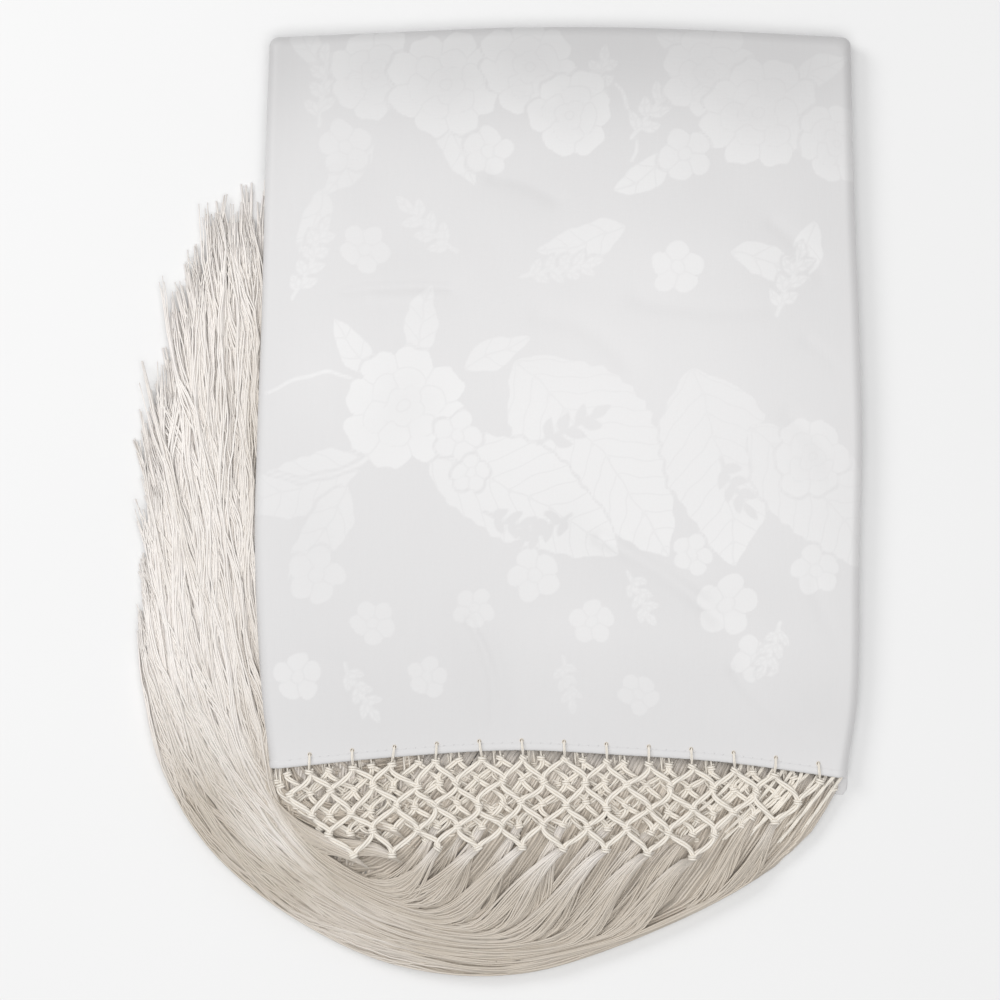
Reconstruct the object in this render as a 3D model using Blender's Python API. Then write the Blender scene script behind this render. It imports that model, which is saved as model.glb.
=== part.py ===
"""A flamenco shawl of silk jacquard, folded to a rectangle and laid flat, with its net and long fringe.

Lengths are in millimetres until a solid is made. X runs across the folded cloth, Y up from the hem to the
fold at the top, and Z up from the surface that the shawl lies on.
"""

import math
import random
from bisect import bisect_right
from collections import namedtuple

import bmesh
import bpy
from mathutils import Vector

MM = 0.001

# The cloth square and its folds
SHAWL_SIDE = 1400.0
LEAVES_ACROSS = 5
LEAVES_UP = 4
FOLDED_WIDTH = SHAWL_SIDE / LEAVES_ACROSS
FOLDED_LENGTH = SHAWL_SIDE / LEAVES_UP
CLOTH_CENTRE_X = 28.5
CLOTH_CENTRE_Y = 48.0

# Thickness of a leaf, the gap between pieces, and the heights of the folded stack
LEAF_WALL = 1.2
GAP = 0.3
STACK_FLOOR = LEAF_WALL + GAP
EDGE_HEIGHT = 13.0
HEM_HEIGHT = 11.0
CROWN = 2.6
HEM_EASE = 0.3
ROLL_RADIUS = 5.0
ROLL_ANGLES = (28.0, 58.0, 92.0)
CORNER_RADIUS = 6.0

# The rolled hem
HEM_WIDTH = 3.5
HEM_RISE = 0.4
HEM_SET_BACK = HEM_WIDTH + GAP

# The net: the holes along the hem set its pitch
HOLE_PITCH = 20.2
FIRST_HOLE_X = -90.7
HOLES = 13
ROW_PITCH = 10.6
CORD_WIDTH = 2.5
CORD_THICKNESS = 1.8
KNOT_RADIUS = 2.9
KNOT_RISE = 0.5
KNOT_STRAY_X = 0.7
KNOT_STRAY_Y = 0.6
KNOT_ROUNDING = 0.7
WIDEST_KNOT_EDGE = 125.0
TAB_FOOT = 0.6
TAB_SEAT = 0.42
FIRST_KNOT_DROP = 3.4

# The fringe
STRAND_LENGTH = 402.0
LENGTH_SPREAD = 0.06
LOCK_SPACING = 1.2
FRINGE_LAYERS = 5
LOCKS_IN_LAYER = 20
LOCK_SEGMENTS = 9
LAYER_PITCH = 1.5
LOWEST_LAYER = 1.15
STRIP_WIDTH = 3.0
STRIP_THICKNESS = 1.1
LOCK_THICKNESS = 0.95
LOCK_FILL = 0.74
ROOT_FILL = 0.6
WIDEST_LOCK = 4.2
NARROWEST_LOCK = 0.8
TIP_TAPER = 0.45
TAPER_FROM = 0.7
SWAY = 0.12
SWAY_PACE = 7.0
FIRST_SEED = 20

# The number of faces across and up the cloth, and how much closer they lie towards its edges
ACROSS = 14
UP = 17
CLOSER_AT_EDGES = 0.55

# How far each long side bows out from the folded rectangle, from the hem, 0, to the top fold, 1
SideRow = namedtuple("SideRow", "up left_out right_out")
SIDE_EDGES = (
    SideRow(0.00, -1.1, -2.5),
    SideRow(0.10, 2.7, 2.3),
    SideRow(0.29, 5.6, 3.1),
    SideRow(0.45, 4.5, 4.3),
    SideRow(0.62, 2.3, 2.7),
    SideRow(0.80, 0.7, 0.3),
    SideRow(1.00, -1.5, -1.1),
)

# How far the hem and the top fold bow out, from left, 0, to right, 1
EndRow = namedtuple("EndRow", "across hem_out top_out")
END_EDGES = (
    EndRow(0.00, 1.2, -2.2),
    EndRow(0.20, -4.1, 0.2),
    EndRow(0.42, -7.5, 2.6),
    EndRow(0.62, -5.1, 2.6),
    EndRow(0.80, -1.7, 0.7),
    EndRow(1.00, 5.5, -2.2),
)

# The largest creases and swells of the front panel: a line, half its width, and its rise or sink
Fold = namedtuple("Fold", "from_x from_y to_x to_y half_width rise")
FOLDS = (
    Fold(-76.0, 98.0, -22.0, 100.0, 9.0, -0.7),
    Fold(44.0, -14.0, 108.0, -58.0, 14.0, -1.1),
    Fold(112.0, -84.0, 146.0, -110.0, 13.0, -0.9),
    Fold(128.0, 134.0, 154.0, 106.0, 13.0, -0.8),
    Fold(-80.0, 162.0, -92.0, 126.0, 14.0, -0.9),
    Fold(0.0, 154.0, 26.0, 144.0, 14.0, -0.7),
    Fold(-16.0, -56.0, -4.0, -106.0, 12.0, -0.9),
    Fold(-50.0, 46.0, 110.0, 74.0, 30.0, 0.9),
    Fold(60.0, -80.0, 20.0, -20.0, 24.0, 0.7),
)

# The hidden leaves at the edges of the stack, from the top leaf down: how far each lies in from the outline
LeafRow = namedtuple("LeafRow", "left right top hem")
LEAF_EDGES = (
    LeafRow(0.6, 1.6, 1.2, 2.2),
    LeafRow(2.1, 0.5, 0.4, 1.2),
    LeafRow(1.0, 1.9, 1.8, 2.6),
)
LEAF_GROOVE = 1.1
LEAF_SHOULDER = 0.22

# How far the hidden leaves' edges wander to the left and right, and how fast up, across and downwards
LEAF_WANDER_LEFT = 0.3
LEAF_WANDER_RIGHT = 0.2
WANDER_PACE_UP = 9.0
WANDER_PACE_ACROSS = 5.0
WANDER_PACE_DEEP = 7.0

# The back panel's corner that shows below the hem
PEEK_FROM_X = 158.9
PEEK_TO_X = 166.6
PEEK_Y = -141.4
PEEK_RADIUS = 2.2
PEEK_SLANT = 0.4
PEEK_LIFT = 0.3
BACK_SET_IN = 1.3
BACK_HEM_SET_IN = 2.4
BACK_ROUNDING = 0.35

# The section of the rolled hem: outward from the panel's cut edge, and up from its face
HemPoint = namedtuple("HemPoint", "out up")
HEM_SECTION = (
    HemPoint(0.3, -1.3),
    HemPoint(0.3, 0.1),
    HemPoint(1.0, HEM_RISE),
    HemPoint(3.0, HEM_RISE),
    HemPoint(HEM_SET_BACK, -0.4),
    HemPoint(3.1, -1.5),
)

# Each net: its sideways shift in holes, its height at the hem and at its lowest row, how far its tabs reach
# over the hem line and at what height, and how near its knots come to the fringe's strips
Net = namedtuple("Net", "name shift hem_z low_z rows tab_to tab_z near seed")
NETS = (
    Net("net_front", 0.0, 10.3, 9.4, 5, 4.4, HEM_HEIGHT + HEM_RISE + GAP + CORD_THICKNESS / 2, 0.0, 3),
    Net("net_under", 0.5, 6.2, 4.9, 4, HEM_SET_BACK - TAB_SEAT, 7.2, STRIP_WIDTH + KNOT_RADIUS + GAP, 8),
)
SWEEP_CLEARANCE = 5.5
NET_STATIONS = 7
BORDER_STEPS = 40

# The fringe's path from the net round to the tips: its inner edge, its middle and its outer edge, and how
# high the layers are piled there
Station = namedtuple("Station", "inner_x inner_y middle_x middle_y outer_x outer_y pile")
SWEEP = (
    Station(-24.0, -171.6, 77.0, -172.4, 156.6, -143.6, 1.00),
    Station(-30.7, -179.6, 66.0, -186.4, 143.0, -166.0, 0.96),
    Station(-41.0, -185.6, 43.2, -200.0, 106.6, -189.8, 0.92),
    Station(-54.0, -185.6, 9.6, -208.3, 57.6, -212.0, 0.90),
    Station(-72.0, -177.0, -28.8, -206.4, 5.8, -225.6, 0.90),
    Station(-94.5, -160.6, -68.2, -191.4, -48.0, -221.0, 0.92),
    Station(-113.2, -136.8, -100.8, -168.0, -96.0, -199.2, 0.95),
    Station(-120.0, -107.0, -126.7, -136.8, -136.3, -166.4, 1.00),
    Station(-120.8, -66.7, -142.6, -101.3, -160.4, -127.2, 1.04),
    Station(-121.4, -24.0, -154.2, -57.1, -170.6, -86.9, 1.06),
    Station(-121.2, 22.0, -164.0, -6.7, -179.0, -37.9, 1.06),
    Station(-120.0, 70.0, -179.0, 44.1, -212.0, 10.1, 1.02),
    Station(-118.6, 116.0, -198.0, 92.5, -256.0, 58.1, 0.98),
    Station(-117.4, 158.0, -219.0, 138.5, -304.0, 106.1, 0.95),
)

# Steps for measuring along and across the fringe's path
PATH_STEPS = 8
SHARE_STEP = 0.02
WITHIN_PATH = 0.999

# The shading turns sharp at edges steeper than this
SHARP_ANGLE = 50.0

Finish = namedtuple("Finish", "name colour roughness sheen")
SILK = Finish("silk_jacquard", (0.86, 0.85, 0.85), 0.42, 0.35)
HEM_SILK = Finish("hem_silk", (0.87, 0.86, 0.85), 0.5, 0.3)
CORD_SILK = Finish("net_cord_silk", (0.87, 0.84, 0.78), 0.55, 0.25)
FRINGE_SILK = Finish("fringe_silk", (0.87, 0.84, 0.79), 0.45, 0.3)


def clear_scene():
    """Removes what the scene holds at the start."""
    for thing in list(bpy.data.objects):
        bpy.data.objects.remove(thing)


def material_of(finish):
    """The Principled material of a finish, made once."""
    found = bpy.data.materials.get(finish.name)
    if found:
        return found
    material = bpy.data.materials.new(finish.name)
    material.use_nodes = True
    shader = material.node_tree.nodes["Principled BSDF"]
    shader.inputs["Base Color"].default_value = (*finish.colour, 1.0)
    shader.inputs["Roughness"].default_value = finish.roughness
    shader.inputs["Sheen Weight"].default_value = finish.sheen
    shader.inputs["Metallic"].default_value = 0.0
    material.diffuse_color = (*finish.colour, 1.0)
    return material


def add_solid(name, points, faces, finish):
    """Makes one closed, outward-facing solid from points in millimetres."""
    work = bmesh.new()
    corners = [work.verts.new([value * MM for value in point]) for point in points]
    for face in faces:
        work.faces.new([corners[index] for index in face])
    bmesh.ops.recalc_face_normals(work, faces=work.faces)
    mesh = bpy.data.meshes.new(name)
    work.to_mesh(mesh)
    work.free()
    mesh.shade_smooth()
    mesh.set_sharp_from_angle(angle=math.radians(SHARP_ANGLE))
    mesh.materials.append(material_of(finish))
    solid = bpy.data.objects.new(name, mesh)
    bpy.context.scene.collection.objects.link(solid)
    return solid


def through(stations, values, where):
    """A smooth curve's value: it runs through each value at its station."""
    last = len(stations) - 1
    low = min(max(bisect_right(stations, where) - 1, 0), last - 1)
    span = stations[low + 1] - stations[low]
    along = (where - stations[low]) / span

    def slope(index):
        before = max(index - 1, 0)
        after = min(index + 1, last)
        return (values[after] - values[before]) / (stations[after] - stations[before])

    square = along * along
    cube = square * along
    return (
        (2 * cube - 3 * square + 1) * values[low]
        + (cube - 2 * square + along) * span * slope(low)
        + (3 * square - 2 * cube) * values[low + 1]
        + (cube - square) * span * slope(low + 1)
    )


def column(table, name):
    """One named column of a table."""
    return [getattr(row, name) for row in table]


def ease(value):
    """A smooth step from 0 to 1."""
    value = min(max(value, 0.0), 1.0)
    return value * value * (3.0 - 2.0 * value)


def side_x(up, side):
    """The folded cloth's left or right edge at a height up the cloth."""
    out = through(column(SIDE_EDGES, "up"), column(SIDE_EDGES, side + "_out"), up)
    half = FOLDED_WIDTH / 2 + out
    return CLOTH_CENTRE_X - half if side == "left" else CLOTH_CENTRE_X + half


def end_y(across, end):
    """The folded cloth's hem or top fold at a place across the cloth."""
    out = through(column(END_EDGES, "across"), column(END_EDGES, end + "_out"), across)
    half = FOLDED_LENGTH / 2 + out
    return CLOTH_CENTRE_Y - half if end == "hem" else CLOTH_CENTRE_Y + half


def hem_y_at(x):
    """The hem line below or above a place on the X axis."""
    across = (x - side_x(0.0, "left")) / (side_x(0.0, "right") - side_x(0.0, "left"))
    return end_y(min(max(across, 0.0), 1.0), "hem")


def plan_point(across, up, left, right, top, hem, hem_corners):
    """A place in plan, with each edge set in by its own amount and the corners rounded."""
    low_x = side_x(up, "left") + left
    high_x = side_x(up, "right") - right
    low_y = end_y(across, "hem") + hem
    high_y = end_y(across, "top") - top
    x = low_x + across * (high_x - low_x)
    y = low_y + up * (high_y - low_y)
    if up < 0.5 and not hem_corners:
        return x, y
    from_side = min(x - low_x, high_x - x)
    from_end = min(y - low_y, high_y - y)
    if from_side >= CORNER_RADIUS or from_end >= CORNER_RADIUS:
        return x, y
    a = 1.0 - from_side / CORNER_RADIUS
    b = 1.0 - from_end / CORNER_RADIUS
    move_x = (a - a * math.sqrt(1.0 - b * b / 2.0)) * CORNER_RADIUS
    move_y = (b - b * math.sqrt(1.0 - a * a / 2.0)) * CORNER_RADIUS
    x += move_x if across < 0.5 else -move_x
    y += move_y if up < 0.5 else -move_y
    return x, y


def fold_height(x, y):
    """The creases and swells, which fade at both ends of their lines."""
    total = 0.0
    for fold in FOLDS:
        run = Vector((fold.to_x - fold.from_x, fold.to_y - fold.from_y))
        reach = Vector((x - fold.from_x, y - fold.from_y))
        along = min(max(reach.dot(run) / run.length_squared, 0.0), 1.0)
        away = (reach - run * along).length / fold.half_width
        total += fold.rise * math.exp(-away * away)
    return total


def top_height(across, up, x, y):
    """The height of the front panel's face."""
    base = HEM_HEIGHT + (EDGE_HEIGHT - HEM_HEIGHT) * ease(up / HEM_EASE)
    shoulder_across = 1.0 - (2.0 * across - 1.0) ** 4
    shoulder_up = 1.0 - (2.0 * up - 1.0) ** 4
    inside = shoulder_across * shoulder_up
    return base + inside * (CROWN + fold_height(x, y))


def spaced(index, count):
    """Places from 0 to 1 that lie closer together near both ends."""
    even = index / count
    eased = (1.0 - math.cos(math.pi * even)) / 2.0
    return even + CLOSER_AT_EDGES * (eased - even)


def grid_place(i, j):
    return spaced(i, ACROSS), spaced(j, UP)


def flat_part(i, j, depth):
    """A point of the stack's top, some way below the front panel's face."""
    across, up = grid_place(i, j)
    inset = ROLL_RADIUS
    x, y = plan_point(across, up, inset, inset, inset, HEM_SET_BACK, False)
    return x, y, top_height(across, up, x, y) - depth


def roll_point(i, j, degrees, depth):
    """A point where the cloth rolls over the stack's edge."""
    across, up = grid_place(i, j)
    turn = math.radians(degrees)
    radius = ROLL_RADIUS - depth
    inset = ROLL_RADIUS - radius * math.sin(turn)
    x, y = plan_point(across, up, inset, inset, inset, HEM_SET_BACK, False)
    edge_z = flat_part(i, j, 0.0)[2]
    return x, y, edge_z - ROLL_RADIUS + radius * math.cos(turn)


def rim(closed):
    """The grid's edge: up the left side, along the top, down the right, and back along the hem if closed."""
    path = [(0, j) for j in range(UP + 1)]
    path += [(i, UP) for i in range(1, ACROSS + 1)]
    path += [(ACROSS, j) for j in range(UP - 1, -1, -1)]
    if closed:
        path += [(i, 0) for i in range(ACROSS - 1, 0, -1)]
    return path


def grid_faces():
    """The triangles of the grid whose points are stored row by row, split alike on every sheet."""
    wide = ACROSS + 1
    faces = []
    for j in range(UP):
        for i in range(ACROSS):
            corner = j * wide + i
            opposite = corner + wide + 1
            faces.append((corner, corner + 1, opposite))
            faces.append((corner, opposite, corner + wide))
    return faces


def grid_index(place):
    i, j = place
    return j * (ACROSS + 1) + i


def strip_faces(first, second, closed):
    """Quads between two lines of point numbers."""
    count = len(first)
    faces = []
    for index in range(count if closed else count - 1):
        after = (index + 1) % count
        faces.append((first[index], first[after], second[after], second[index]))
    return faces


def thicken(outer, inner, faces):
    """Points and faces of a wall between two like sheets, closed round its open edges."""
    count = len(outer)
    sides = {side for face in faces for side in zip(face, face[1:] + face[:1])}
    walls = []
    for start, end in sorted(sides):
        if (end, start) not in sides:
            walls.append((end, start, start + count, end + count))
    back = [tuple(index + count for index in reversed(face)) for face in faces]
    return list(outer) + list(inner), list(faces) + back + walls


def panel_sheet(depth):
    """The front panel's face, or the sheet some way below it, with its three rolled edges."""
    points = [flat_part(i, j, depth) for j in range(UP + 1) for i in range(ACROSS + 1)]
    faces = grid_faces()
    path = rim(False)
    line = [grid_index(place) for place in path]
    for degrees in ROLL_ANGLES:
        start = len(points)
        points += [roll_point(i, j, degrees, depth) for i, j in path]
        ring = list(range(start, len(points)))
        faces += strip_faces(line, ring, False)
        line = ring
    return points, faces


def add_front_panel():
    outer, faces = panel_sheet(0.0)
    inner = panel_sheet(LEAF_WALL)[0]
    points, faces = thicken(outer, inner, faces)
    return add_solid("front_panel", points, faces, SILK)


def leaf_ring(row, set_in, fraction):
    """One line round the hidden leaves: fraction is 0 at the bottom of the stack and 1 at the roll's lip."""
    ring = []
    for i, j in rim(True):
        across, up = grid_place(i, j)
        wave = math.sin(WANDER_PACE_UP * up + WANDER_PACE_ACROSS * across + WANDER_PACE_DEEP * fraction)
        left = row.left + set_in + LEAF_WANDER_LEFT * wave
        right = row.right + set_in - LEAF_WANDER_RIGHT * wave
        x, y = plan_point(across, up, left, right, row.top + set_in, row.hem + set_in, True)
        lip = roll_point(i, j, ROLL_ANGLES[-1], LEAF_WALL)[2] - GAP
        ring.append((x, y, STACK_FLOOR + fraction * (lip - STACK_FLOOR)))
    return ring


def add_folded_layers():
    """The hidden leaves as one rounded solid under the front panel, with a bulge at each fold."""
    depth = LEAF_WALL + GAP
    points = [flat_part(i, j, depth) for j in range(UP + 1) for i in range(ACROSS + 1)]
    faces = grid_faces()
    path = rim(True)
    line = [grid_index(place) for place in path]
    rings = [[roll_point(i, j, degrees, depth) for i, j in path] for degrees in ROLL_ANGLES]
    leaf = 1.0 / len(LEAF_EDGES)
    for number, row in enumerate(LEAF_EDGES):
        top = 1.0 - number * leaf
        rings.append(leaf_ring(row, LEAF_GROOVE, top))
        rings.append(leaf_ring(row, 0.0, top - LEAF_SHOULDER * leaf))
        rings.append(leaf_ring(row, 0.0, top - (1.0 - LEAF_SHOULDER) * leaf))
    rings.append(leaf_ring(LEAF_EDGES[-1], LEAF_GROOVE, 0.0))
    for ring in rings:
        start = len(points)
        points += ring
        after = list(range(start, len(points)))
        faces += strip_faces(line, after, True)
        line = after
    faces.append(tuple(line))
    return add_solid("folded_layers", points, faces, SILK)


def back_outline(set_in):
    """The back panel's edge in plan, with the corner that shows below the hem."""
    side = BACK_SET_IN + set_in
    hem = BACK_HEM_SET_IN + set_in
    points = []
    for i, j in rim(True):
        across, up = grid_place(i, j)
        x, y = plan_point(across, up, side, side, side, hem, True)
        if (i, j) == (ACROSS, 0):
            right = PEEK_TO_X - set_in
            left = PEEK_FROM_X + set_in
            low = PEEK_Y + set_in
            points += [
                (right, low + 2.0 * PEEK_RADIUS),
                (right - PEEK_SLANT, low + PEEK_RADIUS),
                (right - PEEK_RADIUS, low),
                (left + PEEK_RADIUS, low + PEEK_LIFT),
                (left, low + PEEK_RADIUS),
                (left - PEEK_SLANT, hem_y_at(left) + hem),
            ]
        elif j > 0 or x < PEEK_FROM_X - 2.0:
            points.append((x, y))
    return points


def add_back_panel():
    """The lowest leaf, flat on the surface."""
    levels = ((BACK_ROUNDING, 0.0), (0.0, LEAF_WALL / 2), (BACK_ROUNDING, LEAF_WALL))
    points = []
    faces = []
    line = []
    for set_in, height in levels:
        start = len(points)
        points += [(x, y, height) for x, y in back_outline(set_in)]
        after = list(range(start, len(points)))
        faces += strip_faces(line, after, True) if line else [tuple(after)]
        line = after
    faces.append(tuple(reversed(line)))
    return add_solid("back_panel", points, faces, SILK)


def add_front_hem():
    """The narrow rolled hem, set off the panel's cut edge."""
    spine = []
    for degrees in reversed(ROLL_ANGLES):
        spine.append((roll_point(0, 0, degrees, 0.0), -math.radians(degrees)))
    spine += [(flat_part(i, 0, 0.0), 0.0) for i in range(ACROSS + 1)]
    for degrees in ROLL_ANGLES:
        spine.append((roll_point(ACROSS, 0, degrees, 0.0), math.radians(degrees)))
    points = []
    faces = []
    line = []
    for (x, y, z), lean in spine:
        start = len(points)
        for corner in HEM_SECTION:
            points.append((x + corner.up * math.sin(lean), y - corner.out, z + corner.up * math.cos(lean)))
        after = list(range(start, len(points)))
        faces += strip_faces(line, after, True) if line else [tuple(after)]
        line = after
    faces.append(tuple(reversed(line)))
    return add_solid("front_hem", points, faces, HEM_SILK)


def net_height(net, x, y):
    """The middle of a net's cords: over the hem at its tabs, then sloping to the lowest row."""
    below = hem_y_at(x) - y
    depth = FIRST_KNOT_DROP + (net.rows - 1) * ROW_PITCH
    tab_from = FIRST_KNOT_DROP - 1.0
    if below < tab_from:
        rise = ease((tab_from - below) / (tab_from - TAB_FOOT))
        return net.hem_z + (net.tab_z - net.hem_z) * rise
    return net.hem_z + (net.low_z - net.hem_z) * min(below / depth, 1.0)


def clear_of_fringe(x, y, near):
    """Whether a place lies inside the fringe's strips by a distance, and inside its inner edge."""
    place = Vector((x, y))
    parts = [step / BORDER_STEPS for step in range(BORDER_STEPS + 1)]
    border = [(sweep_point(1.0 - part, 0.0), near) for part in parts[:-1]]
    border += [(sweep_point(0.0, NET_STATIONS * part), SWEEP_CLEARANCE) for part in parts]
    nearest = min(range(BORDER_STEPS * 2), key=lambda index: (border[index][0] - place).length)
    start, needed = border[nearest]
    run = (border[nearest + 1][0] - start).normalized()
    return run.cross(place - start) < -needed


def net_knots(net):
    """The place of each knot, by row and column."""
    draw = random.Random(net.seed)
    knots = {}
    for row in range(net.rows):
        for column_number in range(-1, HOLES + 1):
            half = 0.5 * (row % 2)
            x = FIRST_HOLE_X + HOLE_PITCH * (column_number + half + net.shift)
            stray_x = draw.uniform(-KNOT_STRAY_X, KNOT_STRAY_X)
            stray_y = draw.uniform(-KNOT_STRAY_Y, KNOT_STRAY_Y)
            y = hem_y_at(x) - FIRST_KNOT_DROP - row * ROW_PITCH
            if not side_x(0.0, "left") + KNOT_RADIUS < x < side_x(0.0, "right") - KNOT_RADIUS:
                continue
            if not clear_of_fringe(x, y, net.near):
                continue
            knots[(row, column_number)] = (x + stray_x, y + stray_y * min(row, 1))
    return knots


def net_links(knots):
    """The cords between the knots: each runs down to the next row's two neighbours."""
    links = []
    for row, column_number in knots:
        left = column_number - 1 if row % 2 == 0 else column_number
        for below in ((row + 1, left), (row + 1, left + 1)):
            if below in knots:
                links.append(((row, column_number), below))
    return links


def joined_knots(knots):
    """The knots that hang together in one net, with the knots that each is tied to."""
    ways = {key: [] for key in knots}
    for upper, lower in net_links(knots):
        ways[upper].append(lower)
        ways[lower].append(upper)
    largest = []
    for key in knots:
        reached = [key]
        for other in reached:
            reached += [way for way in ways[other] if way not in reached]
        if len(reached) > len(largest):
            largest = reached
    return {key: ways[key] for key in knots if key in largest}


def knot_spokes(key, knots, ways):
    """The direction in which each cord leaves a knot, in order round it."""
    x, y = knots[key]
    spokes = []
    for other in ways[key]:
        other_x, other_y = knots[other]
        spokes.append((math.atan2(other_y - y, other_x - x), other))
    if key[0] == 0:
        spokes.append((math.pi / 2, "tab"))
    return sorted(spokes, key=lambda spoke: spoke[0])


def add_knot(x, y, spokes, places, faces):
    """Adds a knot's polygon, and gives the two corners at which each cord joins it."""
    loop = []
    corners = {}
    for index, (angle, other) in enumerate(spokes):
        for side in (-1, 1):
            places.append((
                x + KNOT_RADIUS * math.cos(angle) - side * CORD_WIDTH / 2 * math.sin(angle),
                y + KNOT_RADIUS * math.sin(angle) + side * CORD_WIDTH / 2 * math.cos(angle),
            ))
            loop.append(len(places) - 1)
        corners[other] = (loop[-2], loop[-1])
        after = spokes[(index + 1) % len(spokes)][0]
        opening = (after - angle) % (2 * math.pi) or 2 * math.pi
        extra = int(opening / math.radians(WIDEST_KNOT_EDGE))
        radius = KNOT_ROUNDING * KNOT_RADIUS
        for number in range(1, extra + 1):
            turn = angle + opening * number / (extra + 1)
            places.append((x + radius * math.cos(turn), y + radius * math.sin(turn)))
            loop.append(len(places) - 1)
    places.append((x, y))
    centre = len(places) - 1
    faces += [(loop[index], loop[(index + 1) % len(loop)], centre) for index in range(len(loop))]
    return corners


def add_tab(net, x, corners, places, faces):
    """Adds the cord from a knot of the first row up over the hem."""
    right, left = corners
    for reach in (-TAB_FOOT, net.tab_to):
        tab_y = hem_y_at(x) + reach
        places.append((x + CORD_WIDTH / 2, tab_y))
        places.append((x - CORD_WIDTH / 2, tab_y))
        faces.append((right, len(places) - 2, len(places) - 1, left))
        right, left = len(places) - 2, len(places) - 1


def add_net(net):
    """A net of flat cords: a small polygon for each knot, and a bar for each cord between two knots."""
    knots = net_knots(net)
    ways = joined_knots(knots)
    knots = {key: knots[key] for key in ways}
    places = []
    faces = []
    corners = {}
    centres = set()
    for key, (x, y) in knots.items():
        corners[key] = add_knot(x, y, knot_spokes(key, knots, ways), places, faces)
        centres.add(len(places) - 1)
        if key[0] == 0:
            add_tab(net, x, corners[key]["tab"], places, faces)
    for upper, lower in net_links(knots):
        first = corners[upper][lower]
        second = corners[lower][upper]
        faces.append((first[0], second[1], second[0], first[1]))
    top = []
    bottom = []
    for index, (x, y) in enumerate(places):
        height = net_height(net, x, y)
        swell = CORD_THICKNESS / 2 + (KNOT_RISE if index in centres else 0.0)
        top.append((x, y, height + swell))
        bottom.append((x, y, height - swell))
    points, faces = thicken(top, bottom, faces)
    return add_solid(net.name, points, faces, CORD_SILK)


def sweep_point(share, station):
    """A place on the fringe's path: share runs from its inner edge, 0, to its outer edge, 1."""
    stations = list(range(len(SWEEP)))
    weights = (
        2.0 * (share - 0.5) * (share - 1.0),
        -4.0 * share * (share - 1.0),
        2.0 * share * (share - 0.5),
    )
    place = Vector((0.0, 0.0))
    for weight, guide in zip(weights, ("inner", "middle", "outer")):
        place.x += weight * through(stations, column(SWEEP, guide + "_x"), station)
        place.y += weight * through(stations, column(SWEEP, guide + "_y"), station)
    return place


def pile_at(station):
    return through(list(range(len(SWEEP))), column(SWEEP, "pile"), station)


def lock_line(share, length):
    """Evenly spaced places along one lock: place, direction, the sweep's width there, and station."""
    samples = [sweep_point(share, step / PATH_STEPS) for step in range((len(SWEEP) - 1) * PATH_STEPS + 1)]
    runs = [0.0]
    for before, after in zip(samples, samples[1:]):
        runs.append(runs[-1] + (after - before).length)
    line = []
    for number in range(LOCK_SEGMENTS + 1):
        wanted = min(length * lock_share(number), runs[-1] * WITHIN_PATH)
        low = bisect_right(runs, wanted) - 1
        part = (wanted - runs[low]) / (runs[low + 1] - runs[low])
        station = (low + part) / PATH_STEPS
        place = samples[low].lerp(samples[low + 1], part)
        direction = (samples[low + 1] - samples[low]).normalized()
        spread = sweep_point(share + SHARE_STEP, station) - sweep_point(share - SHARE_STEP, station)
        width = abs(spread.x * direction.y - spread.y * direction.x) / (2.0 * SHARE_STEP)
        line.append((place, direction, width, station))
    return line


def lock_share(step):
    """How far along a lock one of its sections lies."""
    return (step / LOCK_SEGMENTS) ** LOCK_SPACING


def strip_sections(share, root_place, height):
    """The backing strip's sections at both sides of one lock's root, and the root's width."""
    across = sweep_point(share + SHARE_STEP / 2.0, 0.0) - sweep_point(share - SHARE_STEP / 2.0, 0.0)
    tangent = across.normalized()
    outward = Vector((tangent.y, -tangent.x))
    pitch = across.length / SHARE_STEP / LOCKS_IN_LAYER
    root = min(WIDEST_LOCK, ROOT_FILL * pitch)
    top = height + STRIP_THICKNESS / 2
    bottom = height - STRIP_THICKNESS / 2
    sections = []
    for side in (-1, 1):
        front = root_place + tangent * side * root / 2
        back = front - outward * STRIP_WIDTH
        sections.append([(*front, top), (*front, bottom), (*back, bottom), (*back, top)])
    return sections, root


def backing_faces(strip):
    """The faces of the backing strip, left open where each lock leaves it."""
    faces = []
    for index in range(len(strip) - 1):
        before, after = strip[index], strip[index + 1]
        is_lock = index % 2 == 0
        for corner in range(1 if is_lock else 0, 4):
            beside = (corner + 1) % 4
            faces.append((before[corner], before[beside], after[beside], after[corner]))
    faces.append(tuple(strip[0]))
    faces.append(tuple(reversed(strip[-1])))
    return faces


def lock_ring(line, step, root, height, phase):
    """The three corners of one lock's section: left and right at its base, and the middle of its top."""
    place, direction, width, station = line[step]
    along = lock_share(step)
    pitch = width / LOCKS_IN_LAYER
    lock = min(max(LOCK_FILL * pitch, NARROWEST_LOCK), WIDEST_LOCK)
    lock *= 1.0 - TIP_TAPER * ease((along - TAPER_FROM) / (1.0 - TAPER_FROM))
    if step == 1:
        lock = 0.5 * (lock + root)
    side = Vector((direction.y, -direction.x))
    centre = place + side * SWAY * pitch * math.sin(SWAY_PACE * along + phase)
    base = height * pile_at(station) - LOCK_THICKNESS / 2
    right = centre + side * lock / 2
    left = centre - side * lock / 2
    return [(*left, base), (*right, base), (*centre, base + LOCK_THICKNESS)]


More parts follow.
